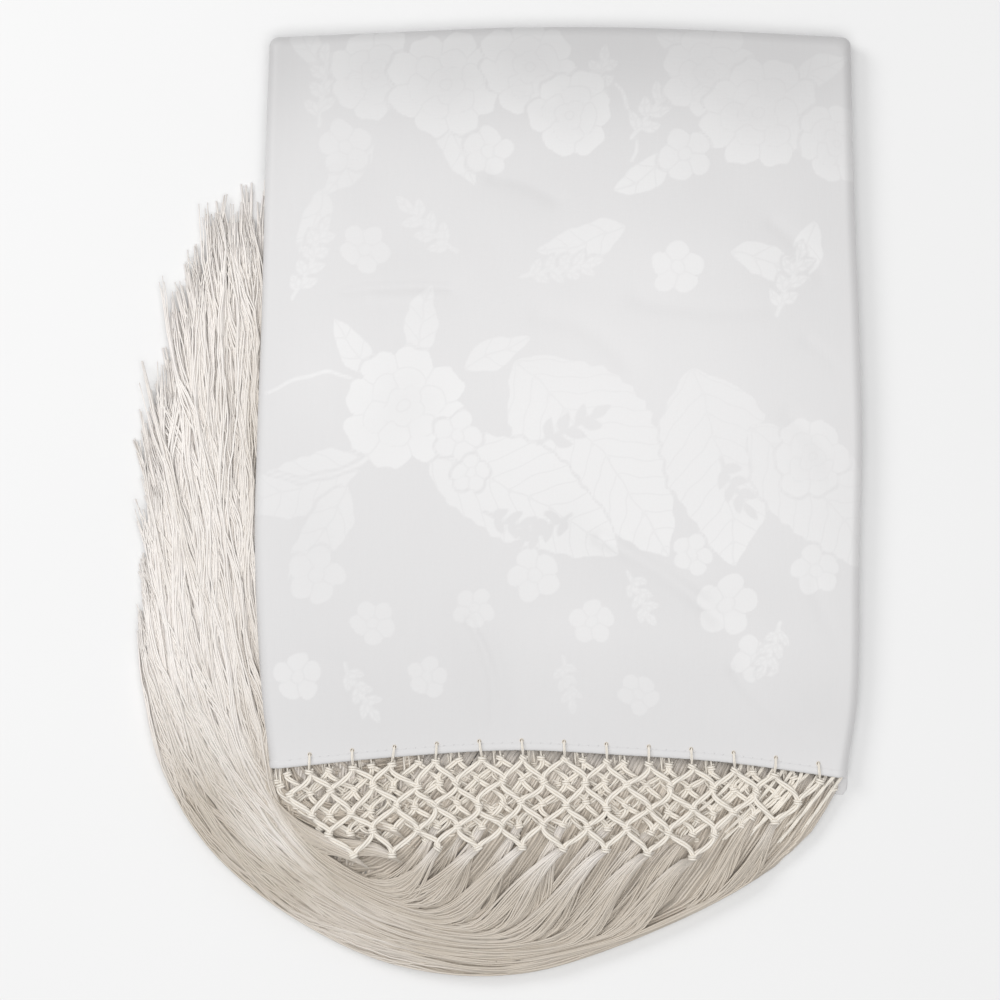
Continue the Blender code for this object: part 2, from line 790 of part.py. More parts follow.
def add_lock(line, root, strip_pair, height, phase, points, faces):
    """Adds one lock, from the strip's open front to its pointed tip."""
    inner, outer = strip_pair
    section = [inner[0], inner[1], outer[1], outer[0]]
    previous = None
    for step in range(1, LOCK_SEGMENTS):
        start = len(points)
        points += lock_ring(line, step, root, height, phase)
        ring = [start, start + 1, start + 2]
        if previous is None:
            faces.append((section[1], section[2], ring[0], ring[1]))
            faces.append((section[0], section[1], ring[1], ring[2]))
            faces.append((section[2], section[3], ring[2], ring[0]))
            faces.append((section[3], section[0], ring[2]))
        else:
            faces += strip_faces(previous, ring, True)
        previous = ring
    tip, _, _, station = line[-1]
    points.append((*tip, height * pile_at(station) - LOCK_THICKNESS / 4))
    for corner in range(3):
        faces.append((previous[corner], previous[(corner + 1) % 3], len(points) - 1))


def add_fringe_layer(number):
    """A narrow backing strip under the net's lowest knots, with its locks of fringe fused to it."""
    draw = random.Random(FIRST_SEED + number)
    height = LOWEST_LAYER + number * LAYER_PITCH
    stagger = 0.25 + 0.5 * (number % 2)
    points = []
    strip = []
    locks = []
    for index in range(LOCKS_IN_LAYER):
        share = (index + stagger) / LOCKS_IN_LAYER
        line = lock_line(share, STRAND_LENGTH * (1.0 + draw.uniform(-LENGTH_SPREAD, LENGTH_SPREAD)))
        sections, root = strip_sections(share, line[0][0], height)
        for section in sections:
            strip.append(list(range(len(points), len(points) + len(section))))
            points += section
        locks.append((line, root, strip[-2:]))
    faces = backing_faces(strip)
    for line, root, strip_pair in locks:
        phase = draw.uniform(0.0, 2.0 * math.pi)
        add_lock(line, root, strip_pair, height, phase, points, faces)
    return add_solid(f"fringe_{number + 1}", points, faces, FRINGE_SILK)


def build():
    clear_scene()
    add_back_panel()
    add_folded_layers()
    add_front_panel()
    add_front_hem()
    for net in NETS:
        add_net(net)
    for number in range(FRINGE_LAYERS):
        add_fringe_layer(number)


build()
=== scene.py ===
"""The look of a folded flamenco shawl: silk jacquard leaves, knotted nets and long fringe, laid flat.

Lengths are in millimetres until a mesh is made. X runs across the folded cloth, Y up from the hem to the
fold at the top, and Z up from the surface that the shawl lies on.
"""

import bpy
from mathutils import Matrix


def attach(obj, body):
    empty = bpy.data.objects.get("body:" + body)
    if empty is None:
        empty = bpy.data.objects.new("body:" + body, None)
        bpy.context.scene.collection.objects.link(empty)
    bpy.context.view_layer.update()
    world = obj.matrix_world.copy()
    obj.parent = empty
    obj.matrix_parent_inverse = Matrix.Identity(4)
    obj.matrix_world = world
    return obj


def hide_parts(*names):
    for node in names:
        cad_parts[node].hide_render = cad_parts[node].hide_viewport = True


bl_info = {
    "name": "Folded flamenco shawl",
    "version": (1, 0, 0),
    "blender": (4, 5, 0),
    "location": "3D View > Sidebar > Shawl",
    "description": "Dresses the shawl's solids in silk jacquard, knotted cord and fringe",
    "category": "Add Mesh",
}

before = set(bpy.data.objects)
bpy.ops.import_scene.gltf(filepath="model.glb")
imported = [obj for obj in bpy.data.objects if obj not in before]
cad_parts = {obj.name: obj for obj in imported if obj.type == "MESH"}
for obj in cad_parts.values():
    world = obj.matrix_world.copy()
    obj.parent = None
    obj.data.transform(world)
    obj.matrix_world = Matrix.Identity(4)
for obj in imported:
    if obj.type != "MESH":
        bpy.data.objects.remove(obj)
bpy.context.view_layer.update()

import math
import random
from collections import namedtuple

import bpy
import numpy as np

MM = 0.001
CRISP_ANGLE = math.radians(50.0)
ACROSS_THE_CLOTH = np.array([1.0, 0.0, 0.0])
UP_THE_CLOTH = np.array([0.0, 1.0, 0.0])
UPWARDS = np.array([0.0, 0.0, 1.0])

# The folded cloth, as the solids have it
FOLDED_WIDTH = 280.0
FOLDED_LENGTH = 350.0
CLOTH_CENTRE_X = 28.5
CLOTH_CENTRE_Y = 48.0
LEAF_WALL = 1.2
GAP = 0.3
STACK_FLOOR = LEAF_WALL + GAP
EDGE_HEIGHT = 13.0
HEM_HEIGHT = 11.0
CROWN = 2.6
HEM_EASE = 0.3
ROLL_RADIUS = 5.0
CORNER_RADIUS = 4.0
ROLL_END = 100.0
INNER_COARSER = 5
HEM_WIDTH = 3.5
HEM_SET_BACK = HEM_WIDTH + GAP
STITCH_PITCH = 4.6

# The net, as the solids have it
HOLE_PITCH = 20.2
FIRST_HOLE_X = -90.7
HOLES = 13
HOLE_UP = 4.9
# Sides of the dark disc that paints the shadow in each hem hole
HOLE_SHADOW_SIDES = 12
ROW_PITCH = 10.6
KNOT_RADIUS = 2.9
FIRST_KNOT_DROP = 3.4
STRIP_WIDTH = 3.0
SWEEP_CLEARANCE = 5.5
NET_STATIONS = 7

# The cords drawn into the outermost locks: how many, and the height they come down to
DRAWN_CORDS = 13
DRAWN_LOW = 2.0

# The fringe, as the solids have it
LAYER_PITCH = 1.5
LOWEST_LAYER = 1.15

# How far each long side bows out from the folded rectangle, from the hem, 0, to the top fold, 1
SideRow = namedtuple("SideRow", "up left_out right_out")
SIDE_EDGES = (
    SideRow(0.00, -1.1, -2.5),
    SideRow(0.10, 2.7, 2.3),
    SideRow(0.29, 5.6, 3.1),
    SideRow(0.45, 4.5, 4.3),
    SideRow(0.62, 2.3, 2.7),
    SideRow(0.80, 0.7, 0.3),
    SideRow(1.00, -1.5, -1.1),
)

# How far the hem and the top fold bow out, from left, 0, to right, 1
EndRow = namedtuple("EndRow", "across hem_out top_out")
END_EDGES = (
    EndRow(0.00, 1.2, -2.2),
    EndRow(0.20, -4.1, 0.2),
    EndRow(0.42, -7.5, 2.6),
    EndRow(0.62, -5.1, 2.6),
    EndRow(0.80, -1.7, 0.7),
    EndRow(1.00, 5.5, -2.2),
)

# The creases and swells of the front leaf: a line, how far it bows sideways, half its width, its rise or sink
Fold = namedtuple("Fold", "from_x from_y to_x to_y bow half_width rise")
FOLDS = (
    Fold(-76, 98, -22, 100, 0, 9, -0.7),
    Fold(44, -14, 108, -58, 0, 14, -1.1),
    Fold(112, -84, 146, -110, 0, 13, -0.9),
    Fold(128, 134, 154, 106, 0, 13, -0.8),
    Fold(-80, 162, -92, 126, 0, 14, -0.9),
    Fold(0, 154, 26, 144, 0, 14, -0.7),
    Fold(-16, -56, -4, -106, 0, 12, -0.9),
    Fold(-50, 46, 110, 74, 0, 30, 0.9),
    Fold(60, -80, 20, -20, 0, 24, 0.7),
)

# Finer creases, which only the finished cloth has
CREASES = (
    Fold(-74, 99, -24, 101, 1.5, 2, -0.60),
    Fold(-60, 96.5, -38, 97, -1, 2.4, 0.36),
    Fold(48, -18, 104, -56, 3, 4, -1.00),
    Fold(62, -20, 96, -42, -2, 5, 0.60),
    Fold(112, -82, 146, -112, -3, 3.2, -0.90),
    Fold(120, -80, 150, -102, 2, 4, 0.50),
    Fold(130, 132, 154, 106, 2, 3.6, -0.70),
    Fold(-82, 160, -92, 128, -2, 4.6, -0.70),
    Fold(-2, 154, 26, 144, 2, 4.2, -0.70),
    Fold(-15, -57, -4, -108, 5, 1.8, -0.68),
    Fold(-9, -62, 1, -100, 4, 2.6, 0.40),
    Fold(-96, -72, -60, -96, 4, 6, -0.60),
    Fold(66, 96, 128, 92, -3, 5, -0.52),
    Fold(20, 88, 60, 66, 5, 6, -0.52),
    Fold(-100, 64, -70, 54, -4, 5, -0.48),
    Fold(138, 40, 160, 10, 3, 5, -0.60),
    Fold(24, -92, 70, -112, 3, 6, -0.52),
    Fold(-20, 206, 20, 190, 4, 6, -0.44),
    Fold(96, 212, 120, 186, -3, 6, -0.44),
    Fold(-106, 0, -84, -20, 3, 4, -0.56),
    Fold(150, -40, 162, -66, -2, 3.5, -0.70),
    Fold(146, 76, 164, 60, 1, 3, -0.52),
)

# The back leaf's corner that shows below the hem
PEEK_FROM_X = 158.9
PEEK_TO_X = 166.6
PEEK_Y = -141.4
PEEK_RADIUS = 2.2
PEEK_END = PEEK_Y + 7.0 * PEEK_RADIUS
BACK_SET_IN = 1.3
BACK_HEM_SET_IN = 2.4

# The hidden leaves at the stack's edges, from the top: thickness, and how far each lies in on each side
LeafRow = namedtuple("LeafRow", "share left right top hem")
LEAF_EDGES = (
    LeafRow(0.9, 0.5, 1.5, 1.1, 2),
    LeafRow(1.5, 1.2, 0.6, 0.5, 1.4),
    LeafRow(0.8, 0.4, 1.2, 1.6, 2.6),
    LeafRow(1.2, 2, 0.5, 0.4, 1.2),
    LeafRow(0.9, 1.3, 1.7, 1.2, 2.2),
    LeafRow(1.4, 0.8, 0.9, 0.6, 1.5),
    LeafRow(0.8, 1.7, 1.4, 1.9, 2.7),
    LeafRow(1.1, 0.7, 1.9, 1.2, 1.8),
    LeafRow(1, 1, 1.1, 1.6, 2.4),
)
LEAF_GROOVE = 1.3
LEAF_PROFILE = ((0.0, 1.0), (0.08, 0.45), (0.25, 0.08), (0.5, 0.0), (0.75, 0.08), (0.92, 0.45))
LIP_TURN = 92.0
HIDDEN_COLUMNS = 64
HIDDEN_ROWS = 80

# The back leaf's rounded edge: how far in each ring lies, and its height
BACK_PROFILE = ((0.45, 0.0), (0.12, 0.15), (0.0, 0.6), (0.12, 1.05), (0.45, LEAF_WALL))
BACK_COLUMNS = 60
BACK_ROWS = 76

# Each net: its shift in holes, how much lower it starts, its heights at the hem and at its lowest row, its
# rows, how near its knots come to the fringe's strips, how far knots stray and cords bow, its seed, and its
# painted shade, which mixes its cords towards the deep cord colour
Net = namedtuple("Net", "shift drop hem_z low_z rows near stray loose seed shade")
NETS = {
    "net_front": Net(0, 0, 10.3, 9.4, 5, 0, 1.3, 3, 3, 0),
    "net_under": Net(0.5, 0, 7.6, 6.6, 4, STRIP_WIDTH + KNOT_RADIUS + GAP, 1.4, 3.2, 8, 0),
    "between": Net(0.26, 5.3, 6.3, 5.5, 4, STRIP_WIDTH, 2.2, 3.2, 27, 0),
    "third": Net(0.27, 3.3, 5.2, 4.4, 4, STRIP_WIDTH, 2.4, 3.2, 21, 0),
    "fourth": Net(0.76, 5.3, 3.7, 3.3, 4, STRIP_WIDTH, 2.6, 3.2, 22, 0.10),
}

# The fringe's path from the net round to the tips: its inner edge, its middle and its outer edge
Station = namedtuple("Station", "inner_x inner_y middle_x middle_y outer_x outer_y pile")
SWEEP = (
    Station(-24, -171.6, 77, -172.4, 156.6, -143.6, 1.00),
    Station(-30.7, -179.6, 66, -186.4, 143, -166, 0.96),
    Station(-41, -185.6, 43.2, -200, 106.6, -189.8, 0.92),
    Station(-54, -185.6, 9.6, -208.3, 57.6, -212, 0.90),
    Station(-72, -177, -28.8, -206.4, 5.8, -225.6, 0.90),
    Station(-94.5, -160.6, -68.2, -191.4, -48, -221, 0.92),
    Station(-113.2, -136.8, -100.8, -168, -96, -199.2, 0.95),
    Station(-120, -107, -126.7, -136.8, -136.3, -166.4, 1.00),
    Station(-120.8, -66.7, -142.6, -101.3, -160.4, -127.2, 1.04),
    Station(-121.4, -24, -154.2, -57.1, -170.6, -86.9, 1.06),
    Station(-121.2, 22, -164, -6.7, -179, -37.9, 1.06),
    Station(-120, 70, -179, 44.1, -212, 10.1, 1.02),
    Station(-118.6, 116, -198, 92.5, -256, 58.1, 0.98),
    Station(-117.4, 158, -219, 138.5, -304, 106.1, 0.95),
    Station(-116.6, 200, -241, 184.5, -352, 154.1, 0.93),
)

# Each layer of fringe, from the lowest: the net that it hangs from or none, its locks where it hangs from the
# hem, tufts in a lock, threads in a tuft, points along a thread, a thread's radius, how far its tufts wander,
# and how much painted shade it has
Layer = namedtuple("Layer", "net locks tufts threads stations radius wander shade")
LAYERS = (
    Layer(None, 136, 1, 4, 30, 0.95, 0.8, 0.20),
    Layer("fourth", 0, 5, 6, 36, 0.66, 1.6, 0.34),
    Layer("third", 0, 6, 6, 42, 0.58, 2, 0.16),
    Layer("net_under", 0, 7, 7, 46, 0.53, 2.3, 0.06),
    Layer("net_front", 0, 7, 8, 50, 0.49, 2.5, 0),
)

# Threads leave their knot within ROOT_RADIUS, spread to LANE_SPREAD of their lane over GATHERED_LENGTH, and
# stray once more over TIP_LENGTH. Locks are tied up to station LAST_TIED, and FAR rules out those after it
ROOT_RADIUS = 1.5
GATHERED_LENGTH = 60.0
TIP_LENGTH = 60.0
LANE_SPREAD = 0.56
LAST_TIED = 6.0
FAR = 1e3

# The share of its lane's longest run that an open lock and a diving lock take up
OPEN_LENGTH = 1.03
DIVING_LENGTH = 0.8

# Layers with less painted shade than PARTED_BELOW part. The inner edge tucks in under the cloth by TUCK, and
# by less where the fringe is narrower than TUCK_WIDTH
PARTED_BELOW = 0.3
TUCK = 5.0
TUCK_WIDTH = 30.0

# Locks tied left of this place dive under the others, into the innermost lanes
DIVING_BEFORE_X = -34.0
DIVING_LANES = 0.30

# The threads that hang behind the net's left end, and how low they reach before a random bit more
HANGING_THREADS = 150
HANGING_LOW = -177.0

# How far along its lane the longest threads reach, for lanes from the inner edge to the outer
TIP_RUNS = (403.0, 415.0, 406.0, 394.0, 397.0, 396.0, 394.0, 402.0, 409.0, 424.0, 436.0)

# Where the fringe parts: the share from its inner edge, the station, half the parting's length, and its width
Parting = namedtuple("Parting", "share station half_length opening")
PARTINGS = (
    Parting(0.10, 10.9, 1.4, 0.022),
    Parting(0.42, 9.4, 1.1, 0.012),
    Parting(0.66, 8.2, 1.2, 0.014),
    Parting(0.30, 7.4, 1, 0.012),
    Parting(0.52, 6, 1.1, 0.010),
    Parting(0.80, 5.2, 1.2, 0.012),
    Parting(0.24, 5, 0.9, 0.014),
    Parting(0.60, 3.6, 1, 0.010),
    Parting(0.38, 11.2, 1, 0.016),
    Parting(0.70, 9.8, 0.8, 0.014),
)

# A soft spot: its centre, its reach across and up, and how much it adds
Spot = namedtuple("Spot", "x y reach_x reach_y amount")

# Hollows in which painted shade darkens the fringe
POOLS = (
    Spot(-34, -181, 36, 10, 0.62),
    Spot(-116, -182, 40, 12, 0.50),
    Spot(-116.5, 50, 4, 44, 0.50),
    Spot(-137, -145, 22, 28, 0.42),
    Spot(30, -214, 60, 9, 0.16),
)

# Broad patches painted onto the silk's colour: painted shade in the darker band along the top fold where the
# cloth rolls away, painted light over the lighter middle, and smaller soft patches of painted sheen and
# uneven tone
LIGHT_AND_TONE_PATCHES = (
    Spot(30, 222, 260, 40, -1.8),
    Spot(60, 60, 120, 60, 0.60),
    Spot(-90, 120, 40, 90, 0.15),
    Spot(150, 120, 30, 60, -0.25),
    Spot(30, -112, 200, 26, -0.30),
    Spot(-70, -90, 60, 40, -0.30),
    Spot(130, -20, 40, 60, 0.20),
    Spot(0, 160, 60, 40, 0.15),
    Spot(-110, 205, 16, 60, -0.50),
    Spot(-70, 150, 16, 22, -0.22),
    Spot(20, 150, 26, 12, -0.24),
    Spot(-52, 112, 20, 10, -0.16),
    Spot(96, 150, 18, 26, -0.16),
    Spot(140, 200, 26, 22, -0.30),
    Spot(70, 112, 34, 14, 0.18),
    Spot(-86, 60, 18, 26, 0.20),
    Spot(118, -46, 22, 16, -0.18),
    Spot(40, -60, 34, 12, 0.16),
    Spot(-6, -84, 14, 24, -0.20),
    Spot(86, -84, 26, 14, -0.14),
    Spot(-92, -20, 16, 30, -0.14),
    Spot(150, -100, 22, 22, -0.22),
)

# The motifs of the jacquard, lowest first: kind, centre or base, size, turn in degrees, and how many petals
# or leaflets, or else how wide or bowed
Motif = namedtuple("Motif", "kind x y size turn count")
MOTIFS = (
    Motif("leaf", 8, 66, 118, -52, 60),
    Motif("leaf", -34, 22, 104, -28, 46),
    Motif("leaf", 92, 62, 96, -78, 52),
    Motif("leaf", 120, 34, 92, -48, 44),
    Motif("leaf", -66, 20, 70, 200, 26),
    Motif("leaf", -72, 6, 52, 236, 20),
    Motif("leaf", 104, 206, 34, 150, 14),
    Motif("leaf", 84, 166, 36, 214, 14),
    Motif("leaf", 138, 196, 32, 28, 13),
    Motif("leaf", -84, 206, 30, 118, 12),
    Motif("leaf", -62, 176, 38, 236, 15),
    Motif("leaf", -30, 184, 40, -62, 16),
    Motif("leaf", 16, 186, 34, -36, 14),
    Motif("leaf", 150, 132, 34, 250, 14),
    Motif("leaf", -40, 66, 38, 78, 15),
    Motif("leaf", -16, 62, 34, 26, 14),
    Motif("leaf", -58, 60, 34, 130, 14),
    Motif("leaf", -84, 148, 34, 250, 13),
    Motif("leaf", 60, 130, 44, 196, 17),
    Motif("leaf", 110, 118, 40, -20, 16),
    Motif("stem", -50, 40, 66, 204, 14),
    Motif("stem", -52, 46, 60, 176, -12),
    Motif("stem", 52, 200, 40, -74, 6),
    Motif("sprig", -86, 178, 34, 84, 3),
    Motif("sprig", 40, 176, 38, 74, 4),
    Motif("sprig", 62, 172, 34, 52, 3),
    Motif("sprig", 10, 106, 36, 12, 4),
    Motif("sprig", -98, 96, 38, 66, 4),
    Motif("sprig", -20, 118, 34, 140, 3),
    Motif("sprig", 132, 88, 32, 70, 3),
    Motif("rose", -60, 203, 22, 10, 7),
    Motif("rose", -26, 198, 27, 25, 8),
    Motif("rose", 14, 206, 24, 40, 7),
    Motif("rose", 34, 184, 21, 5, 6),
    Motif("rose", 100, 204, 23, 60, 7),
    Motif("rose", 124, 184, 28, 20, 8),
    Motif("rose", 160, 170, 19, 70, 6),
    Motif("rose", -46, 44, 30, 30, 8),
    Motif("rose", 148, 20, 19, 60, 6),
    Motif("blossom", -74, 168, 13, 30, 5),
    Motif("blossom", -6, 166, 12, 12, 5),
    Motif("blossom", 88, 164, 13, 45, 5),
    Motif("blossom", -64, 120, 12, 55, 5),
    Motif("blossom", 84, 110, 13, 15, 5),
    Motif("blossom", -20, 30, 12, 0, 5),
    Motif("blossom", -14, 12, 9, 20, 5),
    Motif("blossom", 108, -50, 15, 10, 5),
    Motif("blossom", 122, -76, 12, 50, 5),
    Motif("blossom", 150, -34, 12, 25, 5),
    Motif("blossom", 92, -26, 10, 0, 5),
    Motif("blossom", 16, -36, 13, 35, 5),
    Motif("blossom", -12, -52, 10, 60, 5),
    Motif("blossom", 44, -58, 11, 15, 5),
    Motif("blossom", -88, -36, 14, 0, 5),
    Motif("blossom", -60, -58, 11, 45, 5),
    Motif("blossom", -96, -84, 12, 20, 5),
    Motif("blossom", -34, -84, 10, 10, 5),
    Motif("blossom", 66, -92, 10, 50, 5),
    Motif("sprig", 60, -34, 26, -60, 3),
    Motif("sprig", 134, -58, 26, 250, 3),
    Motif("sprig", 30, -74, 24, 280, 3),
    Motif("sprig", -74, -78, 28, 300, 3),
    Motif("cut", 18, 26, 34, 28, 3),
    Motif("cut", 34, -6, 30, 210, 3),
    Motif("cut", 104, 20, 30, -60, 3),
    Motif("cut", -8, -6, 28, -20, 3),
)
MOTIF_GAP = 1.5
# How strongly the broad patches of painted light, shade and sheen lift or lower the silk's colour
LIGHT_AND_TONE_DEPTH = 0.11


class ShawlCloth(bpy.types.PropertyGroup):
    """The silk jacquard"""

    ground: bpy.props.FloatVectorProperty(
        name="Ground", description="Colour of the plain weave", subtype="COLOR",
        size=3, default=(0.655, 0.648, 0.650), min=0.0, max=1.0,
    )
    figure: bpy.props.FloatVectorProperty(
        name="Figure", description="Colour of the satin flowers and leaves", subtype="COLOR",
        size=3, default=(0.705, 0.700, 0.700), min=0.0, max=1.0,
    )
    wall: bpy.props.FloatProperty(
        name="Thickness", description="Thickness of the front leaf", subtype="DISTANCE",
        unit="LENGTH", default=0.0006, min=0.0003, max=0.0012,
    )
    columns: bpy.props.IntProperty(
        name="Columns", description="Faces across the front leaf", default=200, min=40, max=240,
    )
    rows: bpy.props.IntProperty(
        name="Rows", description="Faces up the front leaf", default=250, min=50, max=300,
    )


class ShawlNet(bpy.types.PropertyGroup):
    """The knotted nets"""

    cord: bpy.props.FloatVectorProperty(
        name="Cord", description="Colour of the silk cord", subtype="COLOR",
        size=3, default=(0.80, 0.75, 0.675), min=0.0, max=1.0,
    )
    ply_radius: bpy.props.FloatProperty(
        name="Ply radius", description="Radius of each of the threads that a cord is laid from",
        subtype="DISTANCE", unit="LENGTH", default=0.00067, min=0.0002, max=0.0012,
    )
    # The deep cord colour is painted shade: each cord is mixed towards it by its painted shade
    shaded: bpy.props.FloatVectorProperty(
        name="Deep cord", description="Colour of the cords deep under the net", subtype="COLOR",
        size=3, default=(0.72, 0.63, 0.48), min=0.0, max=1.0,
    )


class ShawlFringe(bpy.types.PropertyGroup):
    """The long fringe"""

    thread: bpy.props.FloatVectorProperty(
        name="Thread", description="Colour of the fringe", subtype="COLOR",
        size=3, default=(0.95, 0.905, 0.865), min=0.0, max=1.0,
    )
    # The deep thread colour is painted shade: threads are mixed towards it by their painted shade
    shaded: bpy.props.FloatVectorProperty(
        name="Deep thread", description="Colour of the threads deep in the fringe", subtype="COLOR",
        size=3, default=(0.605, 0.54, 0.46), min=0.0, max=1.0,
    )


class ShawlStage(bpy.types.PropertyGroup):
    """The floor, the lights and the camera"""

    floor: bpy.props.FloatVectorProperty(
        name="Floor", description="Colour of the floor", subtype="COLOR",
        size=3, default=(0.80, 0.80, 0.80), min=0.0, max=1.0,
    )
    camera_height: bpy.props.FloatProperty(
        name="Camera height", description="Height of the camera over the floor", subtype="DISTANCE",
        unit="LENGTH", default=1.6, min=0.5, max=4.0,
    )
    overhead_power: bpy.props.FloatProperty(
        name="Overhead light", description="Power of the large overhead softbox", subtype="POWER",
        unit="POWER", default=35.0, min=0.0, max=500.0,
    )
    side_power: bpy.props.FloatProperty(
        name="Side light", description="Power of the smaller softbox at the side", subtype="POWER",
        unit="POWER", default=13.0, min=0.0, max=500.0,
    )


def through(stations, values, where):
    """A smooth curve's values: it runs through each value at its station."""
    stations = np.asarray(stations, float)
    values = np.asarray(values, float)
    where = np.asarray(where, float)
    order = np.arange(len(stations))
    before = np.maximum(order - 1, 0)
    after = np.minimum(order + 1, len(stations) - 1)
    slopes = (values[after] - values[before]) / (stations[after] - stations[before])
    low = np.clip(np.searchsorted(stations, where, side="right") - 1, 0, len(stations) - 2)
    span = stations[low + 1] - stations[low]
    along = (where - stations[low]) / span
    square = along * along
    cube = square * along
    return (
        (2 * cube - 3 * square + 1) * values[low]
        + (cube - 2 * square + along) * span * slopes[low]
        + (3 * square - 2 * cube) * values[low + 1]
        + (cube - square) * span * slopes[low + 1]
    )


def column(table, name):
    """One named column of a table."""
    return [getattr(row, name) for row in table]


def ease(value):
    """A smooth step from 0 to 1."""
    value = np.clip(value, 0.0, 1.0)
    return value * value * (3.0 - 2.0 * value)


def placed(x, y, z):
    """Points from their coordinates."""
    return np.stack(np.broadcast_arrays(x, y, z), axis=-1)


def side_x(up, side):
    """The folded cloth's left or right edge at heights up the cloth."""
    half = FOLDED_WIDTH / 2 + through(column(SIDE_EDGES, "up"), column(SIDE_EDGES, side + "_out"), up)
    return CLOTH_CENTRE_X - half if side == "left" else CLOTH_CENTRE_X + half


def end_y(across, end):
    """The folded cloth's hem or top fold at places across the cloth."""
    half = FOLDED_LENGTH / 2 + through(column(END_EDGES, "across"), column(END_EDGES, end + "_out"), across)
    return CLOTH_CENTRE_Y - half if end == "hem" else CLOTH_CENTRE_Y + half


def hem_y_at(x):
    """The hem line below or above places on the X axis."""
    left = side_x(0.0, "left")
    across = (x - left) / (side_x(0.0, "right") - left)
    return end_y(np.clip(across, 0.0, 1.0), "hem")


def plan_point(across, up, left, right, top, hem, hem_corners):
    """Places in plan, with each edge set in by its own amount and the corners rounded."""
    low_x = side_x(up, "left") + left
    high_x = side_x(up, "right") - right
    low_y = end_y(across, "hem") + hem
    high_y = end_y(across, "top") - top
    x = low_x + across * (high_x - low_x)
    y = low_y + up * (high_y - low_y)
    a = np.clip(1.0 - np.minimum(x - low_x, high_x - x) / CORNER_RADIUS, 0.0, 1.0)
    b = np.clip(1.0 - np.minimum(y - low_y, high_y - y) / CORNER_RADIUS, 0.0, 1.0)
    rounds = (a > 0) & (b > 0) & ((up >= 0.5) | hem_corners)
    move_x = (a - a * np.sqrt(1.0 - b * b / 2.0)) * CORNER_RADIUS * rounds
    move_y = (b - b * np.sqrt(1.0 - a * a / 2.0)) * CORNER_RADIUS * rounds
    return x + np.where(across < 0.5, move_x, -move_x), y + np.where(up < 0.5, move_y, -move_y)


def fold_height(x, y, folds):
    """The creases and swells, which fade at both ends of their lines."""
    total = np.zeros_like(x)
    for fold in folds:
        run_x = fold.to_x - fold.from_x
        run_y = fold.to_y - fold.from_y
        square = run_x * run_x + run_y * run_y
        length = math.sqrt(square)
        share = np.clip(((x - fold.from_x) * run_x + (y - fold.from_y) * run_y) / square, 0.0, 1.0)
        aside = fold.bow * 4.0 * share * (1.0 - share)
        line_x = fold.from_x + run_x * share - run_y / length * aside
        line_y = fold.from_y + run_y * share + run_x / length * aside
        away = np.hypot(x - line_x, y - line_y) / fold.half_width
        total += fold.rise * np.exp(-away * away)
    return total


def ripple(x, y):
    """The slight unevenness of cloth that has been folded and smoothed by hand."""
    return (
        0.10 * np.sin(0.047 * x + 0.031 * y + 1.3)
        + 0.07 * np.sin(0.083 * x - 0.060 * y + 0.4)
        + 0.05 * np.sin(0.021 * x + 0.121 * y + 2.2)
        + 0.03 * np.sin(0.19 * x + 0.11 * y + 5.0)
    )


def top_height(across, up, x, y, fine):
    """The height of the front leaf's face, with its finer creases or without them."""
    base = HEM_HEIGHT + (EDGE_HEIGHT - HEM_HEIGHT) * ease(up / HEM_EASE)
    inside = (1.0 - (2.0 * across - 1.0) ** 4) * (1.0 - (2.0 * up - 1.0) ** 4)
    height = CROWN + fold_height(x, y, FOLDS)
    if fine:
        height = height + fold_height(x, y, CREASES) + ripple(x, y)
    return base + inside * height


def flat_part(across, up, depth, fine):
    """Points of the stack's top, some way below the front leaf's face."""
    x, y = plan_point(across, up, ROLL_RADIUS, ROLL_RADIUS, ROLL_RADIUS, HEM_SET_BACK, False)
    return placed(x, y, top_height(across, up, x, y, fine) - depth)


def roll_point(across, up, degrees, depth, fine):
    """Points where the cloth rolls over the stack's edge."""
    turn = math.radians(degrees)
    radius = ROLL_RADIUS - depth
    inset = ROLL_RADIUS - radius * math.sin(turn)
    x, y = plan_point(across, up, inset, inset, inset, HEM_SET_BACK, False)
    edge_z = flat_part(across, up, 0.0, fine)[..., 2]
    return placed(x, y, edge_z - ROLL_RADIUS + radius * math.cos(turn))


def rim(columns, rows, closed):
    """The grid's edge: its places across and up the leaf, and its point numbers.

    It runs up the left side, along the top and down the right, and back along the hem if closed.
    """
    path = [(0, j) for j in range(rows + 1)]
    path += [(i, rows) for i in range(1, columns + 1)]
    path += [(columns, j) for j in range(rows - 1, -1, -1)]
    if closed:
        path += [(i, 0) for i in range(columns - 1, 0, -1)]
    path = np.array(path)
    return path[:, 0] / columns, path[:, 1] / rows, path[:, 1] * (columns + 1) + path[:, 0]


def leaf_grid(columns, rows, depth, fine):
    """Points of a leaf's flat part, stored row by row."""
    across, up = np.meshgrid(np.linspace(0.0, 1.0, columns + 1), np.linspace(0.0, 1.0, rows + 1))
    return flat_part(across.ravel(), up.ravel(), depth, fine)


def grid_faces(columns, rows):
    """The quads of a grid whose points are stored row by row."""
    first = (np.arange(rows)[:, None] * (columns + 1) + np.arange(columns)).reshape(-1)
    return np.stack([first, first + 1, first + columns + 2, first + columns + 1], axis=1)


def strip_faces(line, ring, closed):
    """Quads between two lines of point numbers, facing out where the path runs clockwise."""
    after_line = np.roll(line, -1)
    after_ring = np.roll(ring, -1)
    quads = np.stack([line, after_line, after_ring, ring], axis=1)
    return quads if closed else quads[:-1]


def stacked(rings, line, start, closed):
    """The faces from a line of point numbers through rings of new points, and the numbers of each."""
    faces = []
    lines = [line]
    for ring in rings:
        lines.append(np.arange(start, start + len(ring)))
        faces.append(strip_faces(lines[-2], lines[-1], closed))
        start += len(ring)
    return faces, lines


